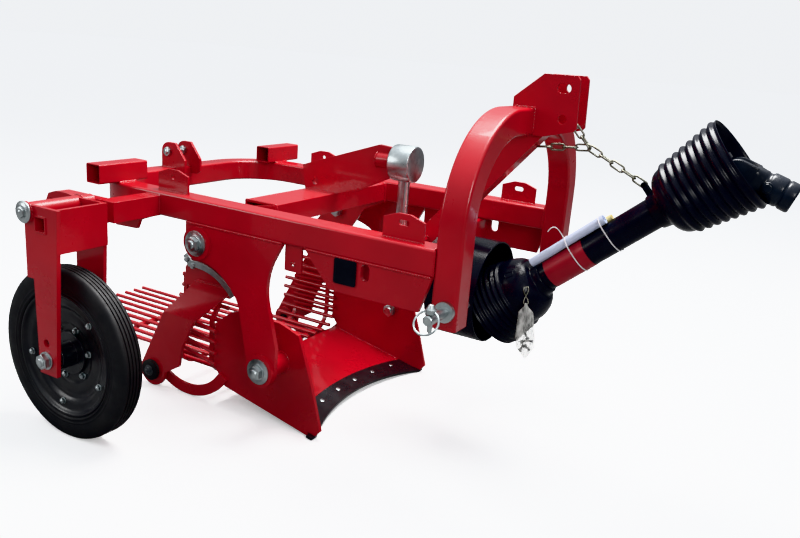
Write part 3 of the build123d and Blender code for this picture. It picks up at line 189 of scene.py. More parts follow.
def thinFilm(name):
    # vinyl, paper or tie: a faint mottling of its colour, and creases from a broad soft grain
    look = filmLooks[name]
    material, tree, bsdf = startMaterial(name)
    darker = tuple(0.82 * part for part in look["colour"])
    mottle = spread(tree, noise(tree, 30.0), 0.3, 0.7, 0, 1)
    tree.links.new(blendColours(tree, mottle, darker, look["colour"]), bsdf.inputs["Base Color"])
    tree.links.new(spread(tree, noise(tree, 60.0), 0.3, 0.7, *look["rough"]), bsdf.inputs["Roughness"])
    tree.links.new(bumpFrom(tree, noise(tree, 45.0, 3.0), look["crease"], 0.0015), bsdf.inputs["Normal"])
    return material


# the bag's dark colour is painted shade and its pale colour is painted highlight, laid along the folds by
# noise
clearLook = {"dark": (0.16, 0.16, 0.15), "pale": (0.95, 0.94, 0.90), "foldScale": 60.0,
             "stretch": (1.6, 1.6, 0.5), "rough": (0.08, 0.20), "crease": 1.0, "alpha": 0.50}


def clearFilm():
    # bag film: painted highlights and painted shade in long upright folds, half seen through
    look = clearLook
    material, tree, bsdf = startMaterial("clear_plastic")
    # painted shade and painted highlight: the folds' noise blends the base colour from dark to pale
    foldShadeAndHighlight = spread(tree, noise(tree, look["foldScale"], 4.0, 0.6, look["stretch"]), 0.40, 0.62, 0, 1)
    tree.links.new(blendColours(tree, foldShadeAndHighlight, look["dark"], look["pale"]), bsdf.inputs["Base Color"])
    tree.links.new(spread(tree, noise(tree, 60.0), 0.3, 0.7, *look["rough"]), bsdf.inputs["Roughness"])
    tree.links.new(bumpFrom(tree, noise(tree, 45.0, 3.0), look["crease"], 0.0015), bsdf.inputs["Normal"])
    bsdf.inputs["Alpha"].default_value = look["alpha"]
    return material


red = redPaint()
zinc, chainZinc = zincPlate("zinc_plate"), zincPlate("chain_zinc")
plastic, blackPaint, cast = (blackFinish(name) for name in ("black_plastic", "black_paint", "black_casting"))
gloss, wheelBlack = blackFinish("gloss_plastic"), blackFinish("wheel_paint")
darkBolt, rubber = blackFinish("dark_bolt"), blackFinish("tyre_rubber")
bandRed, paperWhite = thinFilm("band_vinyl"), thinFilm("paper_white")
paperYellow, tieWhite = thinFilm("paper_yellow"), thinFilm("tie_white")
clearPlastic = clearFilm()

finishOfSlot = {"red_paint": red, "zinc": zinc, "black_plastic": plastic, "black_paint": blackPaint,
                "tyre": rubber, "rubber": rubber}
finishOfNode = {"joint_cross": cast, "input_shaft": cast, "guard_can": gloss, "guard_tube": gloss}
slotOf = {row["node"]: row["material_slot"] for row in frame["record"]["subparts"]}

edges = {"weld": 0.00001, "flat": 0.5, "width": 0.0009, "segments": 2, "sharp": 34, "evenness": 100}


def roundEdges(node):
    # joins the loose triangles and the flats, and rounds the sharp edges by under a millimetre
    weld = node.modifiers.new("weld", "WELD")
    weld.merge_threshold = edges["weld"]
    merge = node.modifiers.new("flats", "DECIMATE")
    merge.decimate_type = "DISSOLVE"
    merge.angle_limit = radians(edges["flat"])
    bevel = node.modifiers.new("edges", "BEVEL")
    bevel.width = edges["width"]
    bevel.segments = edges["segments"]
    bevel.limit_method = "ANGLE"
    bevel.angle_limit = radians(edges["sharp"])
    even = node.modifiers.new("shading", "WEIGHTED_NORMAL")
    even.mode = "FACE_AREA"
    even.weight = edges["evenness"]
    node.data.shade_smooth()


for name, node in nodes.items():
    node.data.materials.clear()
    node.data.materials.append(finishOfNode.get(name, finishOfSlot[slotOf[name]]))
    roundEdges(node)
print("finishes on", len(nodes), "nodes")


# Surfaces computed as whole arrays. Each returns points in metres and four-cornered faces.
def gridFaces(rows, columns, wrapRows):
    down = np.arange(rows if wrapRows else rows - 1)[:, None]
    across = np.arange(columns)[None, :]
    nextDown, nextAcross = (down + 1) % rows, (across + 1) % columns
    corners = (down * columns + across, down * columns + nextAcross,
               nextDown * columns + nextAcross, nextDown * columns + across)
    return np.stack(corners, axis=-1).reshape(-1, 4)


def crossAxes(axis):
    axis = np.asarray(axis, float) / np.linalg.norm(axis)
    helper = np.array([0.0, 0, 1]) if abs(axis[2]) < 0.9 else np.array([1.0, 0, 0])
    first = np.cross(axis, helper)
    first /= np.linalg.norm(first)
    return axis, first, np.cross(axis, first)


def circleOf(first, second, turns, start=0.0, end=2 * np.pi, wraps=True):
    # unit directions cos t * first + sin t * second
    t = np.linspace(start, end, turns, endpoint=not wraps)
    return np.cos(t)[:, None] * np.asarray(first, float) + np.sin(t)[:, None] * np.asarray(second, float)


def revolved(profile, origin, axis, turns=64, closed=True):
    # point = origin + along * axis + radius * direction, for each direction round the axis
    profile = np.asarray(profile, float) / 1000
    axis, first, second = crossAxes(axis)
    ring = circleOf(first, second, turns)
    points = profile[:, 0, None, None] * axis + profile[:, 1, None, None] * ring[None]
    points += np.asarray(origin, float) / 1000
    return points.reshape(-1, 3), gridFaces(len(profile), turns, closed)


def roundedSquare(t, power):
    # the two coordinates of a superellipse: |u| ** power + |v| ** power = 1
    u, v = np.cos(t), np.sin(t)
    return np.sign(u) * np.abs(u) ** (2 / power), np.sign(v) * np.abs(v) ** (2 / power)


def hexagon(origin, axis, start, height, flats):
    # radius of a hexagon = half flats / cos of the angle from the nearest flat; a cone cuts the corners
    axis, first, second = crossAxes(axis)
    t = np.linspace(0, 2 * np.pi, 48, endpoint=False)
    radius = flats / 2 / np.cos((t + np.pi / 6) % (np.pi / 3) - np.pi / 6)
    crown = 0.95 * flats / 2
    drop = (radius - crown) * np.tan(radians(30))
    full = np.ones_like(t)
    rows = [(0 * full, 0 * full), (0 * full, crown * full), (drop, radius), (height - drop, radius),
            (height * full, crown * full), (height * full, 0.6 * crown * full), (height * full, 0 * full)]
    along = np.array([row[0] for row in rows]) + start
    out = np.array([row[1] for row in rows])
    points = along[..., None] * axis + out[..., None] * circleOf(first, second, len(t))[None]
    points += np.asarray(origin, float)
    return points.reshape(-1, 3) / 1000, gridFaces(len(rows), len(t), False)


def washer(origin, axis, start, thick, radius, edge=1.0):
    end, eased = start + thick, 0.3 * edge
    profile = [(start, 0), (start, radius - edge), (start + eased, radius - eased), (start + edge, radius),
               (end - edge, radius), (end - eased, radius - eased), (end, radius - edge), (end, 0)]
    return revolved(profile, origin, axis, 48, False)


def thread(origin, axis, start, length, radius, pitch=2.0):
    # sawtooth radius along the bolt, with a chamfered tip
    profile = [(start, 0)]
    for turn in range(int(length / pitch)):
        profile += [(start + turn * pitch, radius), (start + (turn + 0.5) * pitch, radius - 0.8)]
    profile += [(start + length - 1, radius - 0.5), (start + length, radius - 1.8), (start + length, 0)]
    return revolved(profile, origin, axis, 28, False)


def shank(origin, axis, start, length, radius):
    end = start + length
    return revolved([(start, 0), (start, radius), (end, radius), (end, 0)], origin, axis, 32, False)


def stacked(origin, axis, start, rows):
    # each row is a maker, its length along the bolt and its other sizes; the next one starts where it ends
    parts = []
    for maker, length, *sizes in rows:
        parts.append(maker(origin, axis, start, length, *sizes))
        start += length
    return parts


def alongPath(path, radius, sides=10, closed=False):
    # a round wire: circles carried along the path; radius may be one number or one for each point
    path = np.asarray(path, float) / 1000
    if closed:
        ahead = np.roll(path, -1, 0) - np.roll(path, 1, 0)
    else:
        ahead = np.gradient(path, axis=0)
    ahead /= np.linalg.norm(ahead, axis=1)[:, None]
    side = np.empty_like(path)
    carried = crossAxes(ahead[0])[1]
    for step, direction in enumerate(ahead):
        carried = carried - direction * (carried @ direction)
        carried /= np.linalg.norm(carried)
        side[step] = carried
    other = np.cross(ahead, side)
    t = np.linspace(0, 2 * np.pi, sides, endpoint=False)
    size = np.broadcast_to(np.asarray(radius, float) / 1000, (len(path),))
    ring = np.cos(t)[None, :, None] * side[:, None] + np.sin(t)[None, :, None] * other[:, None]
    points = (path[:, None] + size[:, None, None] * ring).reshape(-1, 3)
    faces = gridFaces(len(path), sides, closed)
    if not closed:
        ends = len(points)
        last = ends - sides
        points = np.vstack([points, path[0], path[-1]])
        caps = [(k, (k + 1) % sides, ends, ends) for k in range(sides)]
        caps += [(last + k, last + (k + 1) % sides, ends + 1, ends + 1) for k in range(sides)]
        faces = np.vstack([faces, caps])
    return points, faces


beadShape = {"step": 1.7, "pass": 6.8, "swell": 0.12, "taper": 4, "thinnest": 0.25}


def weldBead(path, radius):
    # a bead whose width swells and falls with each pass of the torch, and thins at both ends
    path = np.asarray(path, float)
    steps = np.linalg.norm(np.diff(path, axis=0), axis=1)
    travelled = np.concatenate([[0], np.cumsum(steps)])
    at = np.arange(0, travelled[-1] + 1.0, beadShape["step"])
    fine = np.stack([np.interp(at, travelled, path[:, k]) for k in range(3)], axis=1)
    ends = np.clip(np.minimum(at, at[-1] - at) / beadShape["taper"], beadShape["thinnest"], 1)
    swell = 1 + beadShape["swell"] * np.sin(at * 2 * np.pi / beadShape["pass"])
    return alongPath(fine, radius * ends * swell, 8)


def ribbon(path, widthDirection, half, thick, outward):
    # a flat strip: its width lies along one direction, its thickness along the path's own outward directions
    path, outward = np.asarray(path, float), np.asarray(outward, float)
    across = np.asarray(widthDirection, float) * half
    lift = outward * thick / 2
    corners = np.stack([path - across + lift, path + across + lift,
                        path + across - lift, path - across - lift], axis=1)
    last = 4 * (len(path) - 1)
    ends = np.array([[0, 1, 2, 3], [last, last + 1, last + 2, last + 3]])
    return corners.reshape(-1, 3) / 1000, np.vstack([gridFaces(len(path), 4, False), ends])


def plate(outline, middle, origin, forward, up, steps):
    # a plate in the plane of forward and up; each step is its place across and the size of the outline there
    outline, middle = np.asarray(outline, float), np.asarray(middle, float)
    rings = []
    for across, size in steps:
        rim = middle + (outline - middle) * size
        rings.append(origin + rim[:, :1] * forward + rim[:, 1:] * up + np.array([0, across, 0]))
    return np.vstack(rings) / 1000, gridFaces(len(steps), len(outline), False)


def addPiece(name, body, material, parts, replaced=(), sharpAngle=38):
    points, faces, offset = [], [], 0
    for verts, quads in parts:
        points.append(verts)
        faces.append(np.asarray(quads) + offset)
        offset += len(verts)
    mesh = bpy.data.meshes.new(name)
    rows = [tuple(dict.fromkeys(row)) for row in np.vstack(faces).tolist()]
    mesh.from_pydata(np.vstack(points).tolist(), [], rows)
    work = bmesh.new()
    work.from_mesh(mesh)
    bmesh.ops.remove_doubles(work, verts=work.verts, dist=0.000002)
    bmesh.ops.dissolve_degenerate(work, dist=0.000001, edges=work.edges)
    bmesh.ops.recalc_face_normals(work, faces=work.faces)
    work.to_mesh(mesh)
    work.free()
    mesh.shade_smooth()
    mesh.set_sharp_from_angle(angle=radians(sharpAngle))
    mesh.materials.append(material)
    thing = bpy.data.objects.new(name, mesh)
    bpy.context.scene.collection.objects.link(thing)
    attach(thing, body)
    if replaced:
        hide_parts(*replaced)
    return thing


def flipped(parts):
    # the twin on the machine's left side
    return [(verts * np.array([1, -1, 1]), faces) for verts, faces in parts]


def mirrored(parts):
    return parts + flipped(parts)


rightward = (0, -1, 0)

# Pivot bolts through the leg plates: a broad washer, a spring washer and the head outside, a nut inside.
# Each bolt is listed as makers with their lengths and sizes, one behind the other.
pivot = {"face": 358, "swing": (-700, 454, 252), "pan": (-496, 176, 265), "shank": 12, "tuck": 5,
         "nut": (14, 34), "tip": (6, 11), "tipAt": 5,
         "outside": [(washer, 4, 32, 1.2), (washer, 3, 21, 0.8), (hexagon, 12, 33), (thread, 5, 11)]}


def pivotBolt(x, z, inner):
    origin, start = (x, 0, z), inner - pivot["tuck"]
    nutHeight, nutFlats = pivot["nut"]
    return [shank(origin, rightward, start, pivot["face"] - start, pivot["shank"]),
            *stacked(origin, rightward, pivot["face"], pivot["outside"]),
            hexagon(origin, rightward, start - nutHeight, nutHeight, nutFlats),
            thread(origin, rightward, start - nutHeight - pivot["tipAt"], *pivot["tip"])]


pivotParts = pivotBolt(*pivot["swing"]) + pivotBolt(*pivot["pan"])
addPiece("pivotBoltsRight", "frame", zinc, pivotParts, ["pivot_bolts_right"])
addPiece("pivotBoltsLeft", "frame", zinc, flipped(pivotParts), ["pivot_bolts_left"])

# Rubber discs at the feet of the folded arms, with the dark bolt heads that hold them.
foot = {"origin": (-914, 0, 48), "shank": (271, 29, 10), "headAt": 312,
        "disc": [(300, 0), (300, 27), (301.5, 29), (304, 28), (306, 26.8), (308, 28), (310.5, 29), (312, 27),
                 (312, 0)],
        "head": [(washer, 2, 15, 0.6), (hexagon, 6, 19), (thread, 3, 5.5, 1.5)]}
footDisc = [shank(foot["origin"], rightward, *foot["shank"]),
            revolved(foot["disc"], foot["origin"], rightward, 56, False)]
addPiece("footBushes", "rocker", rubber, mirrored(footDisc), ["foot_bolts"])
footHead = stacked(foot["origin"], rightward, foot["headAt"], foot["head"])
addPiece("footBoltHeads", "rocker", darkBolt, mirrored(footHead))

wheelCentre = (-850, -600, 207)
axle = {"origin": (wheelCentre[0], 0, wheelCentre[2]), "start": 515,
        "rows": [(hexagon, 13, 32), (washer, 4, 21, 0.8), (shank, 136, 10), (washer, 4, 21, 0.8),
                 (hexagon, 13, 32), (thread, 5, 9.5)]}
axleParts = stacked(axle["origin"], rightward, axle["start"], axle["rows"])
addPiece("wheelAxle", "frame", zinc, axleParts, ["wheel_axle"])

forkBolt = {"origin": (-896, 0, 543), "start": 674,
            "rows": [(washer, 3.5, 25, 0.9), (hexagon, 8, 22), (thread, 1.5, 6, 1.5)]}
forkParts = stacked(forkBolt["origin"], rightward, forkBolt["start"], forkBolt["rows"])
addPiece("forkBolt", "frame", zinc, forkParts, ["fork_washer"])

lug = {"x": -1098, "z": 605, "across": (-57, 4), "shank": (-5, 10, 9.7), "faceAt": 4, "head": (8, 24),
       "tip": (4, 7)}
lugParts = []
for y in lug["across"]:
    origin = (lug["x"], y, lug["z"])
    lugParts.append(shank(origin, rightward, *lug["shank"]))
    lugParts += stacked(origin, rightward, lug["faceAt"], [(hexagon, *lug["head"]), (thread, *lug["tip"])])
    lugParts.append(hexagon(origin, (0, 1, 0), lug["faceAt"], *lug["head"]))
addPiece("lugBolts", "frame", zinc, lugParts, ["lug_bolts"])

# Countersunk heads across the blade, on the share's slope. The row's ends lie ahead of its middle.
share = {"slope": 11.6, "tip": -382}
blade = {"across": (-210, -126, -42, 42, 126, 210), "radius": 6.5, "back": 94, "bow": 22, "up": 8}
slope = radians(share["slope"])


def onShare(along, y, height):
    x = share["tip"] - along * cos(slope) + height * sin(slope)
    return x, y, along * sin(slope) + height * cos(slope)


bladeParts = []
for y in blade["across"]:
    back, r = blade["back"] - blade["bow"] * (y / blade["across"][-1]) ** 2, blade["radius"]
    cap = [(-1.5, 0), (-1.5, r), (0.5, r), (0.9, r - 0.8), (1.1, 0.5 * r), (1.0, 0)]
    bladeParts.append(revolved(cap, onShare(back, y, blade["up"]), (sin(slope), 0, cos(slope)), 28, False))
addPiece("bladeBolts", "pan", zinc, bladeParts)

# Connecting rod: a big end round the eccentric, a round rod, and a capped head on the crank arm's pin.
rod = {"x": -337, "low": 390, "high": 668, "radius": 15, "from": 41, "to": 42,
       "head": [(-30, 15.1), (-30, 43), (-28.5, 45.2), (-26, 46), (27, 46), (29, 45), (30, 43), (30, 0),
                (20, 0), (20, 15.1)],
       "bigEnd": [(-22, 37), (-22, 46.5), (-20.5, 48), (20.5, 48), (22, 46.5), (22, 37)]}
rodStart = rod["low"] + rod["from"]
rodParts = [revolved(rod["head"], (rod["x"], 0, rod["high"]), (1, 0, 0), 96, True),
            revolved(rod["bigEnd"], (rod["x"], 0, rod["low"]), (1, 0, 0), 96, True),
            shank((rod["x"], 0, 0), (0, 0, 1), rodStart, rod["high"] - rod["to"] - rodStart, rod["radius"])]
addPiece("connectingRod", "con_rod", zinc, rodParts, ["connecting_rod"])
print("bolts and connecting rod placed")


# Tyre: shoulders and side walls as arcs, four grooves in the tread, a raised rib and rim line on each wall.
tyre = {"out": 207, "bead": 151, "half": 31, "grooves": (-13.5, -4.5, 4.5, 13.5), "grooveDepth": 4.4}


def tyreProfile():
    half, out, bead = tyre["half"], tyre["out"], tyre["bead"]
    wall = [(-half + 5, bead - 1), (-half + 1.5, bead + 2), (-half + 0.3, bead + 5), (-half + 2.2, bead + 7),
            (-half + 2.0, bead + 12), (-half + 0.6, bead + 13.5), (-half + 0.6, bead + 15),
            (-half + 1.4, bead + 16.5)]
    for turn in np.linspace(0, 1, 12):
        bulge = 1.2 - 1.2 * np.sin(turn * np.pi) + 3 * turn ** 3
        wall.append((-half + bulge, bead + 18 + turn * (out - bead - 25)))
    shoulder = [(-half + 6.5, out - 4), (-half + 9, out - 1.8), (-half + 11, out - 1)]
    tread = []
    for middle in tyre["grooves"]:
        side = [(2.2, 0.3), (1.4, 0.6), (1.0, 4)]
        tread += [(middle - across, out - down) for across, down in side]
        tread.append((middle, out - tyre["grooveDepth"]))
        tread += [(middle + across, out - down) for across, down in reversed(side)]
    right = [(-across, radius) for across, radius in reversed(wall + shoulder)]
    return wall + shoulder + tread + right


tyrePart = revolved(tyreProfile(), wheelCentre, (0, 1, 0), 144, True)
addPiece("tyre", "wheel", rubber, [tyrePart], ["tyre"], 50)

# Wheel disc: a rolled rim, a well, a raised ring and a flat centre, the same on both faces.
discFace = [(4, 0), (4, 66), (4.6, 69), (7.5, 74), (9, 78), (9.2, 98), (9.6, 106), (13, 112), (17.5, 117),
            (19, 124), (19.4, 134), (21.5, 139), (25, 142), (27.2, 143.5), (28.6, 146), (28.8, 148.5),
            (27.5, 150), (25, 150.5)]
discBack = [(-across, radius) for across, radius in reversed(discFace)]
discParts = [revolved(discFace + discBack, wheelCentre, (0, 1, 0), 112, False)]
addPiece("wheelDisc", "wheel", wheelBlack, discParts, ["wheel_disc"], 50)

wheelBolts = [
    {"count": 6, "radius": 62, "first": 10, "face": 4,
     "rows": [(washer, 1.5, 8.5, 0.4), (hexagon, 6, 12), (thread, 2.5, 3.8, 1.2)]},
    {"count": 5, "radius": 122, "first": 47, "face": 18,
     "rows": [(washer, 1.5, 8, 0.4), (hexagon, 5.5, 12), (thread, 2.5, 3.8, 1.2)]},
]
wheelBoltParts = []
for circle in wheelBolts:
    for turn in range(circle["count"]):
        angle = radians(circle["first"] + turn * 360 / circle["count"])
        offset = circle["radius"] * np.array([cos(angle), 0, sin(angle)])
        for side in (-1, 1):
            origin = np.array(wheelCentre) + offset + np.array([0, side * circle["face"], 0])
            wheelBoltParts += stacked(origin, (0, side, 0), 0, circle["rows"])
addPiece("wheelBolts", "wheel", zinc, wheelBoltParts)
print("wheel built")


# Guards of the drive shaft, turned about its line: radius = taper + ripple, the ripple a rounded ridge.
shaftLine = {"joint": (-15, 0, 390), "angle": 40.5}
shaftAngle = radians(shaftLine["angle"])
shaftDir = np.array([cos(shaftAngle), 0, sin(shaftAngle)])
shaftUp = np.array([-sin(shaftAngle), 0, cos(shaftAngle)])
leftward = np.array([0, 1.0, 0])


def onShaft(along, up=0.0, y=0.0):
    return np.array(shaftLine["joint"], float) + along * shaftDir + up * shaftUp + y * leftward


def ripples(start, end, first, last, rings, depth):
    at = np.linspace(0, 1, rings * 10 + 1)
    ridge = np.abs(np.sin(at * rings * np.pi)) ** 1.6
    return [(start + t * (end - start), first + t * (last - first) + depth * r) for t, r in zip(at, ridge)]


innerOutside = [(105, 35.3), (104, 38), (101, 40), (93, 40.5), (88, 41), (85, 44), (84, 50), (82, 54),
                (78, 60), (72, 65.5), (66, 69.5), (58, 73.5), (50, 76.5), (42, 78.4), (34, 79), (28, 79),
                *ripples(24, -56, 79, 95, 6, 5.5), (-58, 96.5), (-60, 98), (-61.5, 97.2)]
innerInside = [(-60, 94.5), (-50, 92), (24, 75.5), (42, 75), (60, 68), (72, 61), (79, 52), (80, 40),
               (80, 18.4), (105, 18.4)]
innerParts = [revolved(innerOutside + innerInside, shaftLine["joint"], shaftDir, 112, True)]

# The rim of the latch opening on the inner guard's dome: a rounded rectangle laid on the turned surface.
latch = {"along": 50, "turn": 38, "turnRadius": 76, "half": (9, 6.5), "corner": 5, "bead": 1.5,
         "dome": ([34, 42, 50, 58, 66], [79, 78.4, 76.5, 73.5, 69.5])}
latchU, latchV = roundedSquare(np.linspace(0, 2 * np.pi, 40, endpoint=False), latch["corner"])
latchAlong = latch["along"] + latch["half"][0] * latchU
latchTurn = radians(latch["turn"]) + latch["half"][1] / latch["turnRadius"] * latchV
latchOut = np.sin(latchTurn)[:, None] * shaftUp - np.cos(latchTurn)[:, None] * leftward
latchRadius = np.interp(latchAlong, *latch["dome"])
latchPath = onShaft(0) + latchAlong[:, None] * shaftDir + latchRadius[:, None] * latchOut
innerParts.append(alongPath(latchPath, latch["bead"], 8, True))
addPiece("guardConeInner", "frame", gloss, innerParts, ["guard_cone_inner"], 50)

outerOutside = [(395, 35.3), (396, 38.5), (399, 39.5), (414, 42), (418, 44), (421, 50), (424, 58), (428, 64),
                (434, 70), (441, 74), (448, 76), *ripples(450, 592, 76, 98, 8, 6.0), (594, 99), (596.5, 100),
                (597.5, 98.5)]
outerInside = [(596, 96), (590, 94.5), (450, 72.5), (436, 67), (428, 58), (420, 44), (415, 38), (415, 18.4),
               (395, 18.4)]
outerParts = [revolved(outerOutside + outerInside, shaftLine["joint"], shaftDir, 112, True)]

# Chain: round wire links. A strand is a row of points, each the place where link pulls on link.
chain = {"length": 39.0, "width": 18.0, "wire": 4.6, "gap": 0.2, "bar": (86, 806), "barRadius": 4.0,
         "barAngle": 47, "main": ((2, -47), (5, -26)), "spareFrom": 2, "spare": ((4, 185.73),)}
pitch = chain["length"] - 2 * chain["wire"] - chain["gap"]


def strandFrom(start, runs):
    points = [start]
    for steps, angle in runs:
        for step in range(steps):
            points.append(points[-1] + pitch * np.array([cos(radians(angle)), 0, sin(radians(angle))]))
    return points


def linkPart(start, end, across):
    # a stadium: two half circles joined by straights, in the plane of the chain's line and across
    along = (end - start) / np.linalg.norm(end - start)
    wire = chain["wire"] / 2
    bend = chain["width"] / 2 - wire
    half = chain["length"] / 2 - wire - bend
    t = np.linspace(-np.pi / 2, np.pi / 2, 11)
    right = np.stack([half + bend * np.cos(t), bend * np.sin(t)], axis=1)
    loop = np.vstack([right, -right])
    path = (start + end) / 2 + loop[:, :1] * along + loop[:, 1:] * across
    return alongPath(path, wire, 10, True)


barX, barZ = chain["bar"]
barAngle = radians(chain["barAngle"])
hung = np.array([barX - chain["barRadius"] * cos(barAngle), 0, barZ + chain["barRadius"] * sin(barAngle)])
mainPoints = strandFrom(hung, chain["main"])
sparePoints = strandFrom(mainPoints[chain["spareFrom"]], chain["spare"])
chainParts = []
for points in (mainPoints, sparePoints):
    for step, (start, end) in enumerate(zip(points, points[1:])):
        along = (end - start) / np.linalg.norm(end - start)
        upright = np.array([-along[2], 0, along[0]])
        chainParts.append(linkPart(start, end, upright if step % 2 == 0 else leftward))
addPiece("supportChain", "frame", chainZinc, chainParts, ["support_chain"], 60)

# The eye that holds the chain on the outer guard: two ears and a pin.
eye = {"half": 6, "footUp": 38, "across": 5.8, "gauge": 3, "pin": 3.8, "pinHalf": 7.3}
pull = (mainPoints[-1] - mainPoints[-2]) / np.linalg.norm(mainPoints[-1] - mainPoints[-2])
eyePin = mainPoints[-1] - pull * chain["barRadius"]
eyeFoot = eye["footUp"] - (eyePin - onShaft(0)) @ shaftUp
eyeArc = circleOf((1, 0), (0, 1), 9, end=np.pi, wraps=False)
eyeRim = [(-eye["half"], eyeFoot), (eye["half"], eyeFoot), *(eye["half"] * eyeArc)]
for side in (-1, 1):
    near, far = (side * eye["across"] + step * eye["gauge"] / 2 for step in (-1, 1))
    steps = [(near, 0), (near, 1), (far, 1), (far, 0)]
    outerParts.append(plate(eyeRim, np.mean(eyeRim, axis=0), eyePin, shaftDir, shaftUp, steps))
outerParts.append(shank(eyePin, leftward, -eye["pinHalf"], 2 * eye["pinHalf"], eye["pin"]))
addPiece("guardConeOuter", "frame", gloss, outerParts, ["guard_cone_outer"], 50)

# Outer yoke: a block that runs into a round collar, two round-ended ears, bearing caps and the button.
# Each section is its place, half width, half height and power: 2 is round, 5 is nearly square.
yoke = {"out": 573.0, "droop": -20, "button": 80, "earRound": 27, "earEnd": 15, "earRoot": 48,
        "earMiddle": (18, 0)}
yokeSections = [
    (42, 0, 0, 2), (42, 33, 25.5, 5), (43.5, 34, 26.8, 5), (50, 33.5, 27, 4.2), (56, 31, 27, 3.2),
    (62, 28.5, 27.2, 2.5), (67, 27.5, 27.5, 2), (69, 26, 26, 2), (73, 25.5, 25.5, 2), (76, 27, 27, 2),
    (78, 29.5, 29.5, 2), (81, 30.6, 30.6, 2), (104, 31, 31, 2), (107, 30.2, 30.2, 2),
    (108.5, 28.6, 28.6, 2), (110.5, 28.6, 28.6, 2),
    (112, 30.2, 30.2, 2), (114, 31, 31, 2), (129, 31, 31, 2), (132, 30, 30, 2), (134, 27.5, 27.5, 2),
    (134, 19.5, 19.5, 2), (132, 17.5, 17.5, 2), (61, 17.5, 17.5, 2), (61, 0, 0, 2),
]
earSteps = [(18, 0), (18, 0.95), (19.2, 1), (31.2, 1), (33.2, 0.97), (34, 0.92), (34, 0)]
bearingCap = [(33, 0), (33, 13), (35.4, 13), (36, 12.4), (36, 10.4), (34.8, 9.8), (34.8, 0)]
releaseButton = [(24, 0), (24, 12), (30.4, 12), (31.4, 11), (31.4, 9), (33.6, 9), (34.8, 7.8), (35, 6),
                 (35, 0)]
yokeAngle = radians(yoke["droop"])
yokeDir = np.array([cos(yokeAngle), 0, sin(yokeAngle)])
yokeUp = np.array([-sin(yokeAngle), 0, cos(yokeAngle)])
yokeAt = onShaft(yoke["out"])
t = np.linspace(0, 2 * np.pi, 80, endpoint=False)
yokeRings = []
for along, halfWidth, halfHeight, power in yokeSections:
    u, v = roundedSquare(t, power)
    ring = halfWidth * u[:, None] * leftward + halfHeight * v[:, None] * yokeUp
    yokeRings.append(yokeAt + along * yokeDir + ring)
yokeParts = [(np.vstack(yokeRings) / 1000, gridFaces(len(yokeSections), len(t), False))]
earArc = yoke["earRound"] * circleOf((1, 0), (0, 1), 25, np.pi / 2, 3 * np.pi / 2, False)
earArc += np.array([yoke["earEnd"], 0])
earRim = [(yoke["earRoot"], -yoke["earRound"]), (yoke["earRoot"], yoke["earRound"]), *earArc]
for side in (-1, 1):
    steps = [(side * across, size) for across, size in earSteps]
    yokeParts.append(plate(earRim, yoke["earMiddle"], yokeAt, yokeDir, yokeUp, steps))
    yokeParts.append(revolved(bearingCap, yokeAt, (0, side, 0), 40, False))
yokeParts.append(revolved(releaseButton, yokeAt + yoke["button"] * yokeDir, rightward, 40, False))
addPiece("outerYoke", "yoke", cast, yokeParts, ["outer_yoke"], 45)
print("guards, chain and yoke built")


# Linch pins: a pin with a head and tapered tip, and a spring ring of round wire through the head.
linch = {"place": (-25, -411, 436), "ringUp": 18, "ring": 26, "wire": 2.5, "hang": (0, -0.62, -0.78),
         "pin": [(-28, 0), (-28, 2.5), (-24, 5.0), (-22, 5.5), (12, 5.5), (12, 0)],
         "head": [(12, 0), (12, 9.6), (13.2, 11), (22, 11), (23.5, 9.5), (28, 7), (31, 5.5), (32, 4),
                  (32, 0)]}
hang = np.array(linch["hang"])
ringCentre = np.array(linch["place"]) + np.array([0, 0, linch["ringUp"]]) + linch["ring"] * hang
linchParts = [revolved(linch["pin"], linch["place"], (0, 0, 1), 28, False),
              revolved(linch["head"], linch["place"], (0, 0, 1), 32, False),
              alongPath(ringCentre + linch["ring"] * circleOf(hang, (1, 0, 0), 48), linch["wire"], 10, True)]
addPiece("linchPins", "frame", zinc, mirrored(linchParts), ["linch_pins"])


# Weld beads where the plates and tubes meet: lines on the right side, with a mirrored twin where one exists.
def ringPath(centre, axis, radius, count=60):
    axis, first, second = crossAxes(axis)
    return np.asarray(centre, float) + radius * circleOf(first, second, count, wraps=False)


frameSeams = [
    [(-61, -346, 560), (-61, -292, 561)], [(-61, -346, 560), (-61, -346, 500)],
    [(-61, -289, 560), (-61, -289, 500)], [(-52, -35.5, 840.5), (0, -35.5, 840.5), (0.5, -35.5, 786)],
    [(-37, -27.5, 780), (0, -27.5, 780)], [(-279, -27.5, 500.5), (-240, -27.5, 500.5), (-239.5, -27.5, 500)],
    [(-200, -323.3, 560), (-100, -323.3, 560)], [(-200, -316.7, 560), (-100, -316.7, 560)],
    [(-861, -323.3, 560), (-761, -323.3, 560)], [(-861, -316.7, 560), (-761, -316.7, 560)],
    [(-979, -345, 560), (-979, -285, 560)], [(-1029, -327, 560), (-1029, -256, 560)],
    [(-741, -350, 500), (-443, -350, 500)], [(-381, -350, 500), (-62, -350, 500)],
]
frameSingles = [
    [(-880, -350, 550), (-830, -350, 550), (-830, -350, 503)], [(-880, -350, 548), (-880, -350, 503)],
    [(-880, -440, 543), (-880, -440, 499)], [(-810.5, -542, 466), (-810.5, -542, 558)],
    [(-810.5, -658, 466), (-810.5, -658, 558)], [(-1124, -61, 560), (-1071, -61, 560)],
    [(-1124, -53, 560), (-1071, -53, 560)], [(-1124, 0, 560), (-1071, 0, 560)],
    [(-1124, 8, 560), (-1071, 8, 560)],
    ringPath((-896, -667.5, 543), leftward, 20.5), ringPath((-896, -532, 543), leftward, 20.5),
]
rockerSeams = [
    [(-639, -7.3, 560), (-541, -7.3, 560)], [(-639, -251.5, 560.3), (-541, -251.5, 560.3)],
    [(-540, -251.5, 558), (-540, -251.5, 512)], [(-788, -262, 322.5), (-664, -262, 322.5)],
    ringPath((-700, -260.5, 454), leftward, 30.5),
]
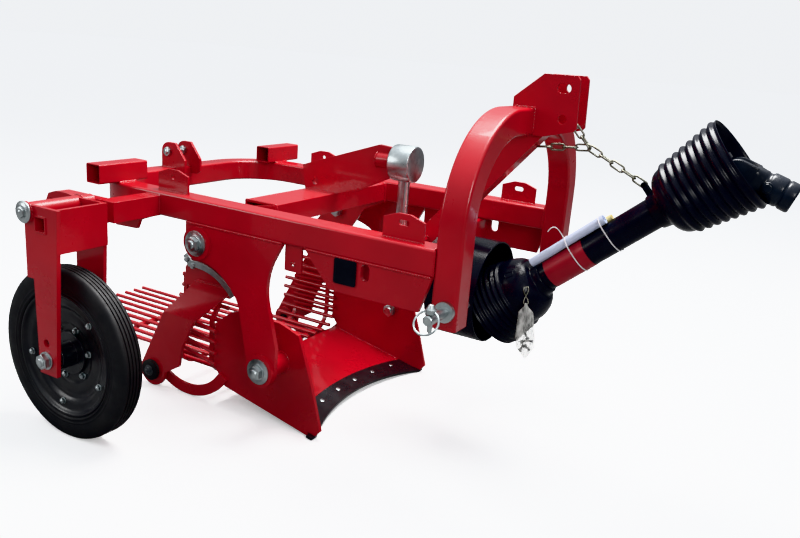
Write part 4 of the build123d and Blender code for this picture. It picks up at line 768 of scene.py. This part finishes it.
panSeams = [[onShare(82, -264.5, 6.3), onShare(322, -264.5, 6.3)],
            ringPath((-496, -275.5, 176), leftward, 28.5), [(-700, -275.5, 70), (-684, -275.5, 82)]]
beadRadius = {"frame": 3.2, "plate": 2.8, "pan": 2.6, "pin": 2.2}
frameBeads = mirrored([weldBead(path, beadRadius["frame"]) for path in frameSeams])
frameBeads += [weldBead(path, beadRadius["plate"]) for path in frameSingles]
addPiece("frameWelds", "frame", red, frameBeads, (), 60)
rockerBeads = mirrored([weldBead(path, beadRadius["plate"]) for path in rockerSeams])
rockerBeads.append(weldBead(ringPath((-417, 0, 668), (1, 0, 0), 20.5), beadRadius["pin"]))
addPiece("rockerWelds", "rocker", red, rockerBeads, (), 60)
panBeads = mirrored([weldBead(path, beadRadius["pan"]) for path in panSeams])
addPiece("panWelds", "pan", red, panBeads, (), 60)
print("welds laid")


# Bare warning band round the near side of the tube guard.
band = {"from": 120, "to": 226, "radius": 35.4, "start": 80, "end": 330, "thick": 0.5}
outward = circleOf(shaftUp, leftward, 70, radians(band["start"]), radians(band["end"]), False)
bandPath = onShaft((band["from"] + band["to"]) / 2) + band["radius"] * outward
bandPart = ribbon(bandPath, shaftDir, (band["to"] - band["from"]) / 2, band["thick"], outward)
addPiece("warningBand", "frame", bandRed, [bandPart])

# A white sheet rolled up on top of the tube guard, with a pale yellow one beside it, and two thin ties.
whiteRoll = {"from": 98, "to": 300, "up": 44, "y": -20, "radius": 10.5, "turns": 2.6}
yellowRoll = {"from": 162, "to": 312, "up": 40, "y": -3, "radius": 6.5, "turns": 1.8}
sheetOfPaper = {"spacing": 1.1, "thick": 0.4}


def paperRoll(roll):
    # an opening spiral: the radius grows by the spacing with each turn
    t = np.linspace(0, roll["turns"] * 2 * np.pi, int(28 * roll["turns"]))
    size = roll["radius"] - sheetOfPaper["spacing"] * (roll["turns"] - t / (2 * np.pi))
    outward = np.cos(t)[:, None] * shaftUp + np.sin(t)[:, None] * leftward
    path = onShaft((roll["from"] + roll["to"]) / 2, roll["up"], roll["y"]) + size[:, None] * outward
    return ribbon(path, shaftDir, (roll["to"] - roll["from"]) / 2, sheetOfPaper["thick"], outward)


addPiece("paperRoll", "frame", paperWhite, [paperRoll(whiteRoll)], (), 60)
addPiece("yellowRoll", "frame", paperYellow, [paperRoll(yellowRoll)], (), 60)

# A tie's radius is the tube's, drawn out by a smooth hump over the paper, whose turn is in radians.
# One end sticks out and droops.
tie = {"along": (200, 290), "radius": 37, "hump": 21.5, "humpTurn": -0.42, "humpWidth": 0.5, "half": 1.2,
       "thick": 0.9, "tailFrom": (198, 54, -24), "tailReach": (-36, -10), "tailRise": 52, "tailDroop": 42,
       "tailRadius": 1.1}
tieParts = []
t = np.linspace(0, 2 * np.pi, 72)
fromHump = (t - tie["humpTurn"] + np.pi) % (2 * np.pi) - np.pi
reach = tie["radius"] + tie["hump"] * np.exp(-fromHump ** 2 / tie["humpWidth"])
outward = np.cos(t)[:, None] * shaftUp + np.sin(t)[:, None] * leftward
for along in tie["along"]:
    tiePath = onShaft(along) + reach[:, None] * outward
    tieParts.append(ribbon(tiePath, shaftDir, tie["half"], tie["thick"], outward))
t = np.linspace(0, 1, 20)
tailX, tailY = tie["tailReach"]
tail = np.stack([tailX * t, tailY * t, tie["tailRise"] * t - tie["tailDroop"] * t ** 3], axis=1)
tieParts.append(alongPath(onShaft(*tie["tailFrom"]) + tail, tie["tailRadius"], 8))
addPiece("ties", "frame", tieWhite, tieParts, (), 60)

# Clear bag of spare bolts, hung from the inner guard by a twisted wire.
bag = {"top": (54, -90, 410), "length": 132, "width": 46, "thick": 15, "lean": 0.10, "facing": 29,
       "widthAt": ([0, 0.06, 0.16, 0.62, 0.80, 1], [0.10, 0.22, 0.74, 1.0, 0.92, 0.10]),
       "fillAt": ([0, 0.1, 0.5, 0.78, 1], [0.15, 0.3, 0.75, 1.0, 0.08])}


def bagShape():
    # width tapers to the tied neck above and to a point below; thickness = a dome, fullest low down
    rows, columns = 44, 36
    v = np.linspace(0, 1, rows)
    width = bag["width"] / 2 * np.interp(v, *bag["widthAt"])
    fill = bag["thick"] / 2 * np.interp(v, *bag["fillAt"])
    t = np.linspace(0, 2 * np.pi, columns, endpoint=False)
    sidewards = width[:, None] * np.cos(t)
    creases = 1 + 0.16 * np.sin(5 * t[None] + 9 * v[:, None]) + 0.10 * np.sin(23 * v[:, None] + 3 * t[None])
    depth = fill[:, None] * np.sin(t) * np.abs(np.sin(t)) ** 0.3 * creases
    topX, topY, topZ = bag["top"]
    facingX, facingY = cos(radians(bag["facing"])), sin(radians(bag["facing"]))
    x = topX + sidewards * facingX - depth * facingY + bag["lean"] * v[:, None] * bag["length"]
    y = topY + sidewards * facingY + depth * facingX
    z = topZ - bag["length"] * v[:, None] + 0 * sidewards
    points = np.stack([x, y, z], axis=-1).reshape(-1, 3)
    caps = [(0, k, k + 1, k + 1) for k in range(1, columns - 1)]
    last = (rows - 1) * columns
    caps += [(last, last + k, last + k + 1, last + k + 1) for k in range(1, columns - 1)]
    return points / 1000, np.vstack([gridFaces(rows, columns, False), caps])


bagPiece = addPiece("boltBag", "frame", clearPlastic, [bagShape()], (), 80)
# each spare bolt: its place in x and z, its tilt in radians and its width over flats
spare = {"y": -88, "bolts": ((60, 318, 0.4, 10), (68, 305, -0.5, 10), (55, 300, 1.2, 9), (64, 332, 2.2, 9),
                             (70, 322, 0.1, 8))}
spareParts = []
for x, z, tilt, flats in spare["bolts"]:
    axis = (cos(tilt), 0.25 * sin(tilt), sin(tilt))
    spareParts += stacked((x, spare["y"], z), axis, -8, [(hexagon, 4, flats), (shank, 14, 2.6)])
spareBolts = addPiece("spareBolts", "frame", darkBolt, spareParts)

# The wire is a figure of eight from the hook on the guard to the bag's neck.
wire = {"hook": (41, -65, 440), "neck": (54, -90, 406), "loop": (5.5, (0.87, 0.48, 0.1)),
        "sag": (2.2, (0.4, -0.7, 0.5)), "radius": 0.9}
hook, neck = np.array(wire["hook"], float), np.array(wire["neck"], float)
t = np.linspace(0, 2 * np.pi, 60, endpoint=False)
wirePath = (hook + neck) / 2 + np.outer(np.cos(t) / 2, hook - neck)
wirePath += np.outer(np.sin(2 * t) * wire["loop"][0], wire["loop"][1])
wirePath += np.outer(np.sin(t) * wire["sag"][0], wire["sag"][1])
addPiece("bagWire", "frame", chainZinc, [alongPath(wirePath, wire["radius"], 8, True)])
print("band, paper, ties and bag placed")


# The camera stands where the photographer stood.
photoCamera = {"azimuth": 29.0, "elevation": 15.6, "roll": -4.5, "place": (0.6257, -1.7231, 0.9432),
               "focalPixels": 785.5, "framePixels": 800, "sensor": 36.0}


def makeCamera():
    azimuth, elevation, roll = (radians(photoCamera[k]) for k in ("azimuth", "elevation", "roll"))
    back = Vector((sin(azimuth) * cos(elevation), -cos(azimuth) * cos(elevation), sin(elevation)))
    right = Vector((cos(azimuth), sin(azimuth), 0))
    up = back.cross(right)
    rolledRight = right * cos(roll) - up * sin(roll)
    rolledUp = right * sin(roll) + up * cos(roll)
    camera = bpy.data.objects.new("camera", bpy.data.cameras.new("camera"))
    camera.data.sensor_width = photoCamera["sensor"]
    camera.data.lens = photoCamera["sensor"] * photoCamera["focalPixels"] / photoCamera["framePixels"]
    turn = Matrix((rolledRight, rolledUp, back)).transposed()
    camera.matrix_world = Matrix.Translation(photoCamera["place"]) @ turn.to_4x4()
    bpy.context.scene.collection.objects.link(camera)
    bpy.context.scene.camera = camera


# The sky that lights the machine is bright overhead and dim at the horizon; the camera sees a white one.
sky = {"zenith": (0.93, 0.96, 1.0), "horizon": (0.10, 0.10, 0.11), "low": 0.02, "high": 0.85,
       "strength": 1.15, "backdrop": (0.954, 0.973, 1.0, 1), "backdropStrength": 1.125}
# The floor is pale to the camera and grey to the light that it throws back on the machine.
floorLook = {"half": 60.0, "pale": (0.94, 0.94, 0.94), "grey": (0.22, 0.22, 0.22), "glow": 0.35,
             "roughness": 0.8, "shine": 0.2}
# each lamp: name, place, target, size in metres, power in watts and share in the highlights
lamps = [("over", (-0.2, 0.6, 3.2), (-0.4, 0.0, 0.4), 1.6, 210, 1.0),
         ("front", (2.6, -2.6, 2.2), (0, 0, 0.4), 1.2, 45, 0.25),
         ("side", (-2.6, -2.4, 1.5), (-0.4, 0, 0.4), 1.2, 22, 0.25)]


def makeSky():
    world = bpy.data.worlds.new("sky")
    bpy.context.scene.world = world
    world.use_nodes = True
    tree = world.node_tree
    light = tree.nodes["Background"]
    where = tree.nodes.new("ShaderNodeTexCoord")
    parts = tree.nodes.new("ShaderNodeSeparateXYZ")
    tree.links.new(where.outputs["Generated"], parts.inputs["Vector"])
    climb = spread(tree, parts.outputs["Z"], sky["low"], sky["high"], 0, 1)
    tree.links.new(blendColours(tree, climb, sky["horizon"], sky["zenith"]), light.inputs["Color"])
    light.inputs["Strength"].default_value = sky["strength"]
    backdrop = tree.nodes.new("ShaderNodeBackground")
    backdrop.inputs["Color"].default_value = sky["backdrop"]
    backdrop.inputs["Strength"].default_value = sky["backdropStrength"]
    rays = tree.nodes.new("ShaderNodeLightPath")
    mix = tree.nodes.new("ShaderNodeMixShader")
    tree.links.new(rays.outputs["Is Camera Ray"], mix.inputs["Fac"])
    tree.links.new(light.outputs["Background"], mix.inputs[1])
    tree.links.new(backdrop.outputs["Background"], mix.inputs[2])
    tree.links.new(mix.outputs["Shader"], tree.nodes["World Output"].inputs["Surface"])


def makeFloor():
    half = floorLook["half"]
    mesh = bpy.data.meshes.new("floor")
    corners = [(-half, -half, 0), (half, -half, 0), (half, half, 0), (-half, half, 0)]
    mesh.from_pydata(corners, [], [(0, 1, 2, 3)])
    floor = bpy.data.objects.new("floor", mesh)
    bpy.context.scene.collection.objects.link(floor)
    material, tree, bsdf = startMaterial("pale_floor")
    rays = tree.nodes.new("ShaderNodeLightPath")
    seen = blendColours(tree, rays.outputs["Is Camera Ray"], floorLook["grey"], floorLook["pale"])
    tree.links.new(seen, bsdf.inputs["Base Color"])
    bsdf.inputs["Roughness"].default_value = floorLook["roughness"]
    bsdf.inputs["Specular IOR Level"].default_value = floorLook["shine"]
    bsdf.inputs["Emission Color"].default_value = (1, 1, 1, 1)
    glow = spread(tree, rays.outputs["Is Camera Ray"], 0, 1, 0, floorLook["glow"])
    tree.links.new(glow, bsdf.inputs["Emission Strength"])
    mesh.materials.append(material)


def makeLamps():
    for name, place, target, size, power, highlight in lamps:
        light = bpy.data.lights.new(name, "AREA")
        light.size = size
        light.energy = power
        light.specular_factor = highlight
        lamp = bpy.data.objects.new(name, light)
        lamp.location = place
        lamp.rotation_euler = (Vector(place) - Vector(target)).to_track_quat("Z", "Y").to_euler()
        bpy.context.scene.collection.objects.link(lamp)


makeCamera()
makeFloor()
makeSky()
makeLamps()
bpy.context.scene.view_settings.view_transform = "Khronos PBR Neutral"
print("camera and studio set")
